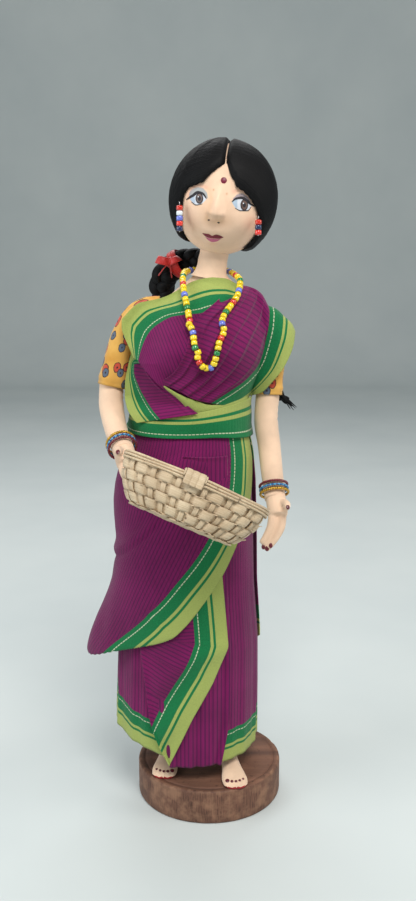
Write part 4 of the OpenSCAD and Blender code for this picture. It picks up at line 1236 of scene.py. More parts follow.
def head():
    A = np.r_[np.linspace(-180, -72, 40)[:-1], np.linspace(-72, 72, 250), np.linspace(72, 180, 40)[1:]]
    E = np.r_[np.linspace(-89, -62, 16)[:-1], np.linspace(-62, 50, 220), np.linspace(50, 89, 18)[1:]]
    a, e = np.meshgrid(A, E)
    P = head_pt(e, a)
    nrm = (P - HC) / np.array([HR, HR, HH]) ** 2
    nrm /= np.linalg.norm(nrm, axis=-1)[..., None]
    x, z = P[..., 0], P[..., 2]
    front = smoothstep(0, -10, P[..., 1])
    # padded nose: a ridge that widens to a round tip
    zt = (z - 30.2)
    ridge = smoothstep(14.5, 1.0, zt) * smoothstep(-4.5, 1.0, zt)
    wid = 1.5 + 1.7 * smoothstep(10, 0, zt)
    nose = 4.6 * ridge ** 1.15 * np.exp(-(np.abs(x + 0.2) / wid) ** 2.2)
    wing = 1.1 * (np.exp(-(((x + 2.9) / 1.3) ** 2 + ((z - 30.9) / 1.5) ** 2)) + np.exp(-(((x - 2.5) / 1.3) ** 2 + ((z - 30.9) / 1.5) ** 2)))
    sock = -0.85 * (np.exp(-(((x + 8.4) / 5.2) ** 2 + ((z - 41.2) / 3.4) ** 2)) + np.exp(-(((x - 10.6) / 5.2) ** 2 + ((z - 41.2) / 3.4) ** 2)))
    cheek = 0.8 * (np.exp(-(((x + 11) / 6) ** 2 + ((z - 28) / 6) ** 2)) + np.exp(-(((x - 12) / 6) ** 2 + ((z - 28) / 6) ** 2)))
    chin = 0.9 * np.exp(-((x / 6) ** 2 + ((z - 15.5) / 4) ** 2))
    lips = 0.7 * np.exp(-(((x + 0.3) / 4.2) ** 2 + ((z - 22.6) / 1.7) ** 2))
    o = front * (nose + wing + sock + cheek + chin + lips)
    P = to_head(P + nrm * o[..., None])
    ob = grid_obj("head_cloth", P, M_FACE, np.stack([a * 0.42, e * 0.46], -1))
    # soft paint: blush, eye shadow and pink arcs over the eyes, which the doll has, and painted shade under and along
    # the nose and under the lower lip
    u, v = project(P)
    c = np.ones(P.shape[:2] + (4,))

    def tint(mask, rgb, k):
        m = (np.clip(mask, 0, 1) * k * front)[..., None]
        c[..., :3] = c[..., :3] * (1 - m) + c[..., :3] * np.array(rgb) * m
    g = lambda cx, cy, sx, sy: np.exp(-(((u - cx) / sx) ** 2 + ((v - cy) / sy) ** 2))
    # painted shade under the nose and down its left side
    tint(g(218, 221.5, 12, 5.5), (0.86, 0.74, 0.60), 0.6)
    tint(g(206, 211, 5, 8), (0.93, 0.85, 0.76), 0.5)
    tint(g(251, 225, 8, 9), (1.0, 0.82, 0.76), 0.55)
    tint(g(189, 223, 8, 9), (1.0, 0.86, 0.80), 0.45)
    for arc, lash, col in (([(189, 193.5), (190.5, 190.6), (193, 188.6), (198, 187), (203, 188), (207, 192.5), (207.8, 197)], [(189, 198.2), (193, 195.6), (198, 192.4), (202.7, 193.6), (207.8, 198.6)], (0.40, 0.66, 0.98)), ([(233, 198.5), (237, 194.5), (242, 193.2), (247, 196), (250.6, 201.5)], [(231.8, 201.8), (235.7, 198.8), (241, 197.8), (246.4, 200.4), (250.6, 204.2)], (0.38, 0.47, 0.76))):
        va, vl = (np.interp(u, [q[0] for q in c_], [q[1] for q in c_]) for c_ in (arc, lash))
        tint(np.clip((v - va) / 1.3 + 0.5, 0, 1) * np.clip((vl - v) / 1.3 + 0.8, 0, 1) * smoothstep(arc[0][0] - 0.6, arc[0][0] + 0.6, u) * (1 - smoothstep(arc[-1][0] - 0.6, arc[-1][0] + 0.6, u)), col, 0.9)
    for arc in ([(188.4, 195.5), (190.5, 190.3), (194.5, 186.4), (200, 185.2), (206, 187.5)], [(234, 191.6), (240, 189.6), (246, 191.6), (252, 197.6)]):
        tint(np.exp(-(seg_dist(u, v, arc) / 2.2) ** 2), (0.96, 0.72, 0.70), 0.6)
    # painted shade along the left side of the nose
    tint(np.exp(-(seg_dist(u, v, [(209.5, 190), (211.5, 200), (208.5, 212), (206.5, 219)]) / 2.6) ** 2), (0.88, 0.78, 0.64), 0.5)
    # painted shade under the lower lip
    tint(g(212.7, 243.8, 6, 1.6), (0.90, 0.78, 0.66), 0.6)
    tint(g(213.6, 189.8, 1.0, 1.2), (0.72, 0.56, 0.42), 0.8)
    tint(g(226.8, 193.8, 1.0, 1.2), (0.72, 0.56, 0.42), 0.8)
    at = ob.data.color_attributes.new("paint", "FLOAT_COLOR", "POINT")
    at.data.foreach_set("color", c.reshape(-1, 4).astype(np.float32).ravel())
    return ob, BVHTree.FromPolygons([tuple(q) for q in P.reshape(-1, 3)], [tuple(f) for f in grid_faces(*P.shape[:2])])


M_FACE = mat_cotton("face_cotton", srgb(246, 210, 180), attr="paint", pitch=0.42, var=0.035)
M_INK = mat_plain("face_ink", srgb(26, 22, 30), rough=0.6, var=0.3)
M_WHITE = mat_plain("eye_white", srgb(208, 212, 220), rough=0.55, var=0.04)
# blue-grey painted shade for the left part of each eye white
M_EYE_WHITE_SHADE = mat_plain("eye_white_painted_shade", srgb(172, 190, 208), rough=0.55, var=0.08)
M_IRIS = mat_plain("eye_iris", srgb(92, 70, 62), rough=0.4, var=0.35, scale=2400, coat=0.25)
M_LIP = mat_plain("lip_upper", srgb(122, 38, 56), rough=0.5, var=0.2)
M_LIP2 = mat_plain("lip_lower", srgb(190, 100, 130), rough=0.5, var=0.15)
M_BINDI = mat_plain("bindi_paint", srgb(112, 20, 48), rough=0.4, var=0.15)


def face_pts(bvh, U, V, lift):
    U, V = np.broadcast_arrays(np.asarray(U, float), np.asarray(V, float))
    out = np.zeros(U.shape + (3,))
    for k in np.ndindex(U.shape):
        a, b = (U[k] - FRONT_W) / FOC, -(V[k] - FRONT_H) / FOC
        d = Vector((a, math.cos(PITCH) + b * math.sin(PITCH), -math.sin(PITCH) + b * math.cos(PITCH))).normalized()
        loc, n, _, _ = bvh.ray_cast(Vector(CAM), d)
        if n.dot(d) > 0:
            n = -n
        out[k] = np.array(loc) + np.array(n) * lift
    return out


def face_ruled(name, bvh, top, bot, nr, nc, mat, lift):
    s = np.linspace(0, 1, nc)
    t, b = poly_at(top, s), poly_at(bot, s)
    r = np.linspace(0, 1, nr)[:, None, None]
    G = t[None] * (1 - r) + b[None] * r
    P = face_pts(bvh, G[..., 0], G[..., 1], lift)
    return grid_obj(name, P, mat, np.stack(np.meshgrid(s * 6, r.ravel() * 3), -1), flip=True)


def face_disc(name, bvh, c, rx, ry, mat, lift, clip=None, n=36, m=7, dome=0.0):
    r = np.linspace(0.02, 1, m)[:, None]
    t = np.linspace(0, 2 * np.pi, n, endpoint=False)[None]
    U, V = c[0] + rx * r * np.cos(t), c[1] + ry * r * np.sin(t)
    if clip is not None:
        V = np.maximum(V, np.interp(U, [p[0] for p in clip], [p[1] for p in clip]))
    P = face_pts(bvh, U, V, lift)
    if dome:
        P[..., 1] -= dome * (1 - r ** 2)
    return make_obj(name, P.reshape(-1, 3), grid_faces(m, n, wrap_c=True, flip=True) + [list(range(n))], mat)


def face_stroke(name, bvh, pts, w, mat, lift, n=40):
    s = np.linspace(0, 1, n)
    p = poly_at(pts, s)
    ww = np.interp(s, np.linspace(0, 1, len(w)), w)
    t = np.gradient(p, axis=0)
    t /= np.linalg.norm(t, axis=1)[:, None]
    nn = np.stack([-t[:, 1], t[:, 0]], 1)
    G = np.stack([p - nn * ww[:, None] / 2, p, p + nn * ww[:, None] / 2])
    P = face_pts(bvh, G[..., 0], G[..., 1], lift)
    P[1, :, 1] -= 0.05
    return grid_obj(name, P, mat, np.stack(np.meshgrid(s * 6, [0, 0.5, 1.0]), -1), flip=True)


def face(bvh):
    lt = [(190.0, 199.2), (193, 196.0), (198, 192.8), (202.7, 194.1), (206.4, 198.8)]
    lb = [(190.0, 199.6), (192.6, 202.3), (196.6, 204.6), (202.0, 203.4), (206.4, 199.4)]
    rt = [(232, 201.8), (235.7, 199.1), (241, 198.2), (246.4, 200.8), (251.2, 205.2)]
    rb = [(232, 202.4), (235.2, 207.6), (241, 210.3), (247.3, 210.2), (251.2, 205.9)]
    out = [face_ruled("p", bvh, lt, lb, 9, 28, M_WHITE, 0.05), face_ruled("p", bvh, rt, rb, 9, 28, M_WHITE, 0.05)]
    # painted shade on the left part of each eye white
    out.append(face_ruled("p", bvh, [(190.4, 199), (192, 197.2), (194.4, 195.6)], [(190.6, 199.8), (192.8, 202.0), (195.0, 203.4)], 6, 10, M_EYE_WHITE_SHADE, 0.075))
    out.append(face_ruled("p", bvh, [(232.6, 201.8), (234.6, 200.2), (237.4, 199.4)], [(232.6, 202.6), (234.8, 206.6), (237.0, 208.6)], 6, 10, M_EYE_WHITE_SHADE, 0.075))
    for c, ry, cl in (((199.5, 198.4), 5.4, lt), ((244.2, 205.0), 5.6, rt)):
        out += [face_disc("p", bvh, c, 3.8, ry, M_INK, 0.10, clip=cl), face_disc("p", bvh, c, 2.9, ry - 0.95, M_IRIS, 0.14, clip=[(a, b + 0.5) for a, b in cl]), face_disc("p", bvh, (c[0], c[1] + 0.1), 1.55, 2.3, M_INK, 0.18), face_disc("p", bvh, (c[0] - 1.0, c[1] - 1.6), 0.62, 0.7, M_WHITE, 0.22)]
    out.append(face_stroke("p", bvh, [(186.4, 199.8), (190, 197.4), (193, 195.6), (198, 192.4), (202.7, 193.6), (206.6, 198.6)], [0.7, 2.3, 2.7, 2.5, 2.0, 0.8], M_INK, 0.2))
    out.append(face_stroke("p", bvh, [(231.8, 201.8), (235.7, 198.8), (241, 197.8), (246.4, 200.4), (250.6, 204.2), (254.2, 206.4)], [0.8, 2.0, 2.7, 2.7, 2.1, 0.7], M_INK, 0.2))
    out.append(face_stroke("p", bvh, [(191.4, 201.8), (196.4, 205.0), (202.4, 203.8)], [0.5, 0.9, 0.5], M_INK, 0.16))
    out.append(face_stroke("p", bvh, [(235, 208.2), (241, 210.7), (247.5, 210.7), (251, 207)], [0.5, 0.8, 0.9, 0.5], M_INK, 0.16))
    out += [face_disc("p", bvh, (208.8, 220.0), 1.2, 0.75, M_INK, 0.06), face_disc("p", bvh, (218.6, 222.6), 1.2, 0.75, M_INK, 0.06)]
    out.append(face_ruled("p", bvh, [(202.6, 233), (206, 233.4), (208.4, 233.7), (212.3, 235.6), (216, 234.4), (219.6, 235.2), (223.4, 237)], [(202.6, 233.4), (206, 236.6), (209, 237.6), (212.6, 238.2), (216, 238.5), (219.4, 238.6), (223.4, 237.4)], 7, 34, M_LIP, 0.12))
    out.append(face_ruled("p", bvh, [(205.6, 237.0), (209, 238), (213, 238.6), (217, 239), (220.6, 238.8)], [(205.6, 237.4), (208.8, 240.4), (212.6, 242.0), (216.6, 241.4), (220.6, 239.1)], 7, 26, M_LIP2, 0.10))
    f = join("face_paint", out)
    b = face_disc("bindi_paint", bvh, (223.8, 180.4), 3.0, 3.1, M_BINDI, 0.15, dome=0.25)
    return f, b


HAIRLINE = [[0, 38], [15, 34], [30, 24], [42, 8], [52, -10], [60, -36], [70, -52], [110, -56], [140, -54], [180, -50]]
LINE_R = [(181, 250), (181.8, 206), (184, 194), (188, 187.3), (196, 184.3), (200, 182.6), (204, 181.5), (205, 180), (207, 177), (212.5, 172), (218, 167.5), (226.5, 161.5)]
LINE_L = [(226.5, 161.5), (228.5, 168), (229.5, 173), (232, 177.5), (234, 180.5), (236, 186), (239, 188.5), (243, 190.5), (250, 198), (256, 208), (258.5, 216), (259.5, 250)]


def part_shift(P):
    """The parting leans towards the right ear as it goes up."""
    P = P.copy()
    P[..., 0] -= 0.10 * np.clip(P[..., 2] - 54, 0, None) * np.exp(-(P[..., 0] / 10) ** 2)
    return P


def hairline(a, sgn):
    ee = np.linspace(-50, 80, 400)
    line = LINE_L if sgn > 0 else LINE_R
    out = np.empty(len(a))
    for i, q in enumerate(a):
        u, v = project(to_head(part_shift(head_pt(ee, np.full_like(ee, q * sgn), 1.2))))
        bare = v > np.interp(u, [p[0] for p in line], [p[1] for p in line])
        out[i] = ee[bare].max() if bare.any() else -50.0
    out = relax(out[:, None], 3)[:, 0]
    w = smoothstep(60, 70, a)
    return out * (1 - w) + crv(a, HAIRLINE) * w


def hair_half(name, sgn):
    A = np.r_[np.linspace(0.0, 75, 170), np.linspace(75, 180, 90)[1:]]
    T = np.linspace(0, 1, 110) ** 1.25
    a, t = np.meshgrid(A, T)
    lo = np.broadcast_to(hairline(A, sgn)[None], a.shape)
    lo = lo + 0.35 * np.sin(np.radians(a) * 61) * np.exp(-((a - 30) / 40) ** 2)
    e = lo + (89.4 - lo) * t
    D = head_pt(e, a) - HC
    D = D / np.linalg.norm(D, axis=-1)[..., None]
    # strands run from the parting to the knot at the nape
    N = np.array([0.55, 0.62, -0.56])
    N /= np.linalg.norm(N)
    b1 = np.cross(N, [0, 0, 1.0])
    b1 /= np.linalg.norm(b1)
    b2 = np.cross(N, b1)
    az = np.arctan2(D @ b2, D @ b1)
    dist = np.arccos(np.clip(D @ N, -1, 1))
    s = az * 26
    o = 0.55 + 2.0 * np.clip((e - lo) / 9.0, 0, 1) ** 0.5
    o = o + (0.05 * np.sin(s * 5.7 + 0.4 * np.sin(s * 0.7)) + 0.04 * np.sin(s * 12.1 + 1.3) + 0.10 * fbm(s / 1.0, 11)) * smoothstep(0.05, 0.35, dist)
    X = (HR + o) * np.cos(np.radians(e)) * np.sin(np.radians(a))
    o = o - 1.3 * np.exp(-(X / 1.1) ** 2)
    o = np.maximum(o, 0.12)
    P = head_pt(e, a, o)
    P[..., 0] += 0.28
    P[..., 0] *= sgn
    # drawn back to the knot
    ob = grid_obj(name, to_head(part_shift(P)), M_HAIR, np.stack([s, dist * 24], -1), flip=sgn < 0)
    return ob


BRAID = [[-3, 12.5, 290], [-12, 17, 288.5], [-20, 20, 284], [-25, 24, 276], [-22, 28, 264], [-13, 30.5, 252], [0, 32, 242], [13, 31.5, 233], [26, 29, 225], [36, 25, 218], [42, 22.5, 214]]
BRAID_R = [4.3, 5.5, 6.4, 6.7, 6.5, 6.3, 6, 5.6, 5, 3.8, 2]


def braid():
    n = 300
    p = resample(BRAID, n)
    d = np.r_[0, np.cumsum(np.linalg.norm(np.diff(np.asarray(BRAID, float), axis=0), axis=1))]
    L = d[-1]
    R = crv(np.linspace(0, 1, n), np.stack([d / L, BRAID_R], 1))
    t, u, v = frames(p, (0, 1, 0))
    ph = np.linspace(0, L / 19.0 * 2 * np.pi, n)
    out = []
    for k in range(3):
        q = ph + k * 2 * np.pi / 3
        c = p + u * (R * 0.52 * np.sin(q))[:, None] + v * (R * 0.30 * np.sin(2 * q))[:, None]
        s = sweep("s", c, R * 0.56, R * 0.50, n=18, mat=M_HAIR, ref=(0, 1, 0), prof=lambda a: 1 + 0.04 * np.cos(a * 6))
        out.append(s)
    # tail of loose hair below the tie
    end, dr = p[-1], t[-1]
    for i in range(14):
        w = RNG.normal(0, 0.9, 3)
        q = np.array([p[-14] + w * 0.6, end + w * 0.8, end + dr * 3 + w * 1.2 + np.array([0.5, 0, -1.5])])
        out.append(sweep("s", resample(q, 10), 0.5 * np.linspace(1, 0.3, 10), n=6, mat=M_HAIR))
    return join("braid_hair", out)


def ribbon():
    out = []
    c = np.array([-16.2, 18.6, 286.6])
    ax = np.array([-0.74, 0.28, -0.42])
    ax /= np.linalg.norm(ax)
    u = np.cross(ax, [0, 0, 1.0])
    u /= np.linalg.norm(u)
    v = np.cross(ax, u)
    for k in (-1.1, 0.9):
        a = np.linspace(0, 2 * np.pi, 60)
        ring = c + ax * k + u * (7.0 * np.cos(a))[:, None] + v * (7.0 * np.sin(a))[:, None] + ax * (0.4 * np.sin(a * 3))[:, None]
        out.append(sweep("s", ring, 0.55, 1.6, n=12, mat=M_RIBBON, ref=tuple(ax), caps=False, prof=lambda q: 1 + 0.08 * np.cos(q * 5)))
    # bow at the side: two loops and two ends
    k = c + np.array([-4.2, -5.4, 1.0])
    for dx, dz, w in ((-6.5, 1.4, 1.0), (5.0, 2.2, 0.9)):
        a = np.linspace(0, 2 * np.pi, 44)
        lobe = k + np.stack([dx * (1 - np.cos(a)) / 2, -0.6 - 2.7 * w * np.sin(a), dz * (1 - np.cos(a)) / 2], -1)
        out.append(sweep("s", lobe, 0.3, 2.2 * w, n=10, mat=M_RIBBON, ref=(0, 0, 1), caps=False))
    for dx, dz in ((-5.5, -6.5), (1.0, -7.5)):
        q = [k, k + np.array([dx * 0.5, -0.9, dz * 0.45]), k + np.array([dx, 0.3, dz])]
        out.append(sweep("s", resample(q, 16), 0.3, np.linspace(1.2, 2.1, 16), n=10, mat=M_RIBBON, ref=(0, 1, 0)))
    a = np.linspace(0, 2 * np.pi, 24)
    out.append(sweep("s", k + np.stack([0.3 * np.cos(a), 1.4 * np.sin(a) - 0.3, 1.9 * np.cos(a)], -1), 0.9, 1.0, n=10, mat=M_RIBBON, ref=(1, 0, 0), caps=False))
    return join("ribbon_cloth", out)


# ------------------------------------------------------------------ beads
def bead_at(p, d, mat, r=1.6, l=2.35, hole=0.45):
    d = np.asarray(d, float)
    d = d / np.linalg.norm(d)
    prof = [[-l / 2 + 0.25, hole], [-l / 2, hole + 0.22], [-l / 2, r * 0.68], [-l / 2 + 0.22, r * 0.90], [-l / 4, r], [l / 4, r], [l / 2 - 0.22, r * 0.90], [l / 2, r * 0.68], [l / 2, hole + 0.22], [l / 2 - 0.25, hole]]
    n = 20
    a = np.linspace(0, 2 * np.pi, n, endpoint=False)
    u = np.cross(d, [0.3, 0.2, 1.0])
    u /= np.linalg.norm(u)
    v = np.cross(d, u)
    P = np.array([p + d * h + u * (q * np.cos(a))[:, None] + v * (q * np.sin(a))[:, None] for h, q in prof])
    return make_obj("b", P.reshape(-1, 3), grid_faces(len(prof), n, wrap_c=True, flip=False), mat)


EAR_R = np.array([-14.2, -19.5, 315.1])
EAR_L = np.array([23.3, -20.5, 308.5])


def earring(name, piv, cols):
    out = [bead_at(piv + np.array([0, 0, -1.6 - 2.4 * i]), (0.05 * (i % 2), 0.04, 1), BEADS[c], r=1.6) for i, c in enumerate(cols)]
    a = np.linspace(0, 2 * np.pi, 24)
    out.append(sweep("s", piv + np.stack([0 * a, 0.7 * np.sin(a), 0.5 + 0.8 * np.cos(a)], -1), 0.2, n=8, mat=M_STEEL, ref=(1, 0, 0), caps=False))
    out.append(sweep("s", resample([piv + np.array([0, 0, -0.2]), piv + np.array([0, 0, -2.4 * len(cols) - 0.8])], 6), 0.25, n=8, mat=M_STEEL))
    return join(name, out)


NECK_P = [[-12.6, -1, 282.6], [-13.1, -8.7, 279.6], [-12.5, -16.2, 275], [-10.4, -23.8, 265.5], [-8.3, -31, 255.6], [-6.2, -34.2, 247.4], [-4.6, -33.7, 242.2], [-2, -33, 239.6], [1, -32.6, 239.2], [3.2, -34, 243], [5, -32.4, 251.4], [6.6, -27, 261.4], [10, -22, 267], [14, -17.2, 273], [15.2, -9.8, 278.8], [13.4, -3, 281.2], [9, 6, 283.4], [3, 9.6, 284], [-4, 9.4, 284], [-9.5, 6, 283.6]]


def closed(pts, n):
    p = np.asarray(pts, float)
    q = np.vstack([p[-2:], p, p[:3]])
    d = np.r_[0, np.cumsum(np.linalg.norm(np.diff(q, axis=0), axis=1))]
    t = np.linspace(d[2], d[2 + len(p)], n + 1)[:-1]
    return np.stack([crv(t, np.stack([d, q[:, k]], 1)) for k in range(3)], -1)


def necklace(under):
    tree = []
    for ob in under:
        me = ob.data
        tree.append(BVHTree.FromPolygons([tuple(v.co * 1000) for v in me.vertices], [tuple(f.vertices) for f in me.polygons]))
    p = closed(NECK_P, 400)
    for it in range(36):
        p = 0.25 * np.roll(p, 1, 0) + 0.5 * p + 0.25 * np.roll(p, -1, 0) if it % 9 == 8 else p
        for i in range(len(p)):
            out = Vector((p[i][0] * 0.35, p[i][1] - 2, (p[i][2] - 255) * 0.35)).normalized()
            for tr in tree:
                loc, nrm, _, d = tr.find_nearest(Vector(p[i]), 4.0)
                if loc is None:
                    continue
                v = Vector(p[i]) - loc
                inside = v.dot(out) < 0
                want = 1.82
                if inside or v.length < want:
                    w = out if inside or v.length < 0.2 else v.normalized()
                    p[i] = p[i] + np.array(w) * min(0.5, (want - (-v.length if inside else v.length)))
    L = np.r_[0, np.cumsum(np.linalg.norm(np.diff(np.vstack([p, p[:1]]), axis=0), axis=1))]
    q = np.vstack([p, p[:1]])
    N = int(L[-1] / 2.55)
    at = lambda s: np.array([np.interp(s % L[-1], L, q[:, k]) for k in range(3)])
    seq = "Y Y G Y Y R Y Y B".split()
    name = {"Y": "yellow", "G": "green", "R": "red", "B": "blue"}
    groups = {}
    for i in range(N):
        s = L[-1] * i / N
        c = name[seq[i % 9]]
        rr = 1.6 * (1 + RNG.uniform(-0.04, 0.05))
        groups.setdefault(c, []).append(bead_at(at(s), at(s + 1.2) - at(s - 1.2) + RNG.normal(0, 0.1, 3), BEADS[c], r=rr, l=2.3 + RNG.uniform(-0.12, 0.12)))
    objs = [join("necklace_beads_" + c, g) for c, g in groups.items()]
    th = sweep("necklace_thread", closed(p[::5], 240)[np.r_[0:240, 0]], 0.24, n=8, mat=M_THREAD, caps=False)
    return objs, th


# ------------------------------------------------------------------ bangles
def bangle_centres(path):
    p = np.asarray(path, float)
    d = p[-2] - p[-1]
    d /= np.linalg.norm(d)
    return [p[-1] + d * (3.2 + 2.1 * i) for i in range(3)], d


def bangle(name, c, d, kind, seed):
    u = np.cross(d, [1.0, 0.2, 0])
    u /= np.linalg.norm(u)
    v = np.cross(d, u)
    r = 6.9
    ring = lambda n: [c + u * (r * math.cos(q)) + v * (r * math.sin(q)) for q in np.linspace(0, 2 * math.pi, n, endpoint=False)]
    n = 160
    a = np.linspace(0, 2 * np.pi, n + 1)
    if kind == "gold":
        rr = r + 0.10 * np.sign(np.sin(a * 40))
        path = c + u * (rr * np.cos(a))[:, None] + v * (rr * np.sin(a))[:, None]
        return sweep(name, path, 0.50 + 0.16 * (np.sin(a * 40) > 0), 0.62 + 0.12 * (np.sin(a * 40) > 0), n=12, mat=M_GOLD, ref=tuple(d), caps=False)
    if kind == "blue":
        out = []
        k = 40
        for i, q in enumerate(ring(k)):
            bpy.ops.mesh.primitive_uv_sphere_add(segments=12, ring_count=8, radius=0.00066, location=Vector(q) * 0.001)
            o = bpy.context.object
            o.data.polygons.foreach_set("use_smooth", [True] * len(o.data.polygons))
            o.data.materials.append(M_BLUE if i % 2 == 0 else BEADS["sky"])
            out.append(o)
        path = c + u * (r * np.cos(a))[:, None] + v * (r * np.sin(a))[:, None]
        out.append(sweep("s", path, 0.38, n=8, mat=M_BLUE, ref=tuple(d), caps=False))
        for o in out:
            bpy.context.view_layer.objects.active = o
            o.select_set(True)
        ob = join(name, out)
        bpy.ops.object.transform_apply(location=True, rotation=True, scale=True)
        return ob
    out = []
    for k in range(2):
        q = a * 18 + k * math.pi
        path = c + u * ((r + 0.30 * np.cos(q)) * np.cos(a))[:, None] + v * ((r + 0.30 * np.cos(q)) * np.sin(a))[:, None] + d * (0.34 * np.sin(q))[:, None]
        out.append(sweep("s", path, 0.40, n=10, mat=M_MAROON, ref=tuple(d), caps=False))
    return join(name, out)
# ------------------------------------------------------------------ basket
BA, BB, BD = 35.0, 20.0, 22.0
ROT = np.array(Matrix.Rotation(math.radians(24), 3, "Y") @ Matrix.Rotation(math.radians(-18), 3, "X"))
BC = np.array([-5.5, -57, 188.8])


def to_basket(p):
    return np.asarray(p, float) @ ROT.T + BC


def wall(t):
    return 1 - 0.30 * np.clip(t, 0, 1) ** 2.2


def bpt(th, depth, o):
    """Point of the basket wall: angle, depth below the rim, distance outwards."""
    t = depth / BD
    k = wall(t)
    x, y = BA * k * np.cos(th), BB * k * np.sin(th)
    nx, ny = np.cos(th) / BA, np.sin(th) / BB
    m = np.hypot(nx, ny)
    return np.stack([x + o * nx / m, y + o * ny / m, -depth * np.ones_like(x)], -1)


def even_angles(n):
    th = np.linspace(0, 2 * np.pi, 2001)
    q = np.hypot(np.diff(BA * np.cos(th)), np.diff(BB * np.sin(th)))
    L = np.r_[0, np.cumsum(q)]
    return np.interp(np.linspace(0, L[-1], n), L, th), L[-1]


def splint(name, th, d0, d1, off, thick=0.75, end=False, seed=0):
    """Flat cane strip round the wall between depths d0 and d1. off gives its distance out along the way."""
    m = 7
    w = np.linspace(0, 1, m)
    crown = 0.20 * np.sin(w * np.pi)
    r = np.random.default_rng(seed)
    wob = 0.22 * fbm(th * 3 + seed, seed)
    rows_o, rows_i = [], []
    for j in range(m):
        dep = d0 + wob + (d1 - d0) * w[j]
        rows_o.append(bpt(th, dep, off + thick / 2 + crown[j]))
        rows_i.append(bpt(th, dep, off - thick / 2 + crown[j] * 0.4))
    G = np.stack(rows_o + rows_i[::-1] + rows_o[:1], 0)
    G = to_basket(G)
    L = np.r_[0, np.cumsum(np.linalg.norm(np.diff(G[0], axis=0), axis=1))]
    V = np.r_[np.linspace(0, d1 - d0, m), np.linspace(d1 - d0, 0, m), 0] + seed * 7.3
    uv = np.stack(np.meshgrid(L + seed * 31, V), -1)
    ob = grid_obj(name, G, M_CANE, uv)
    return ob


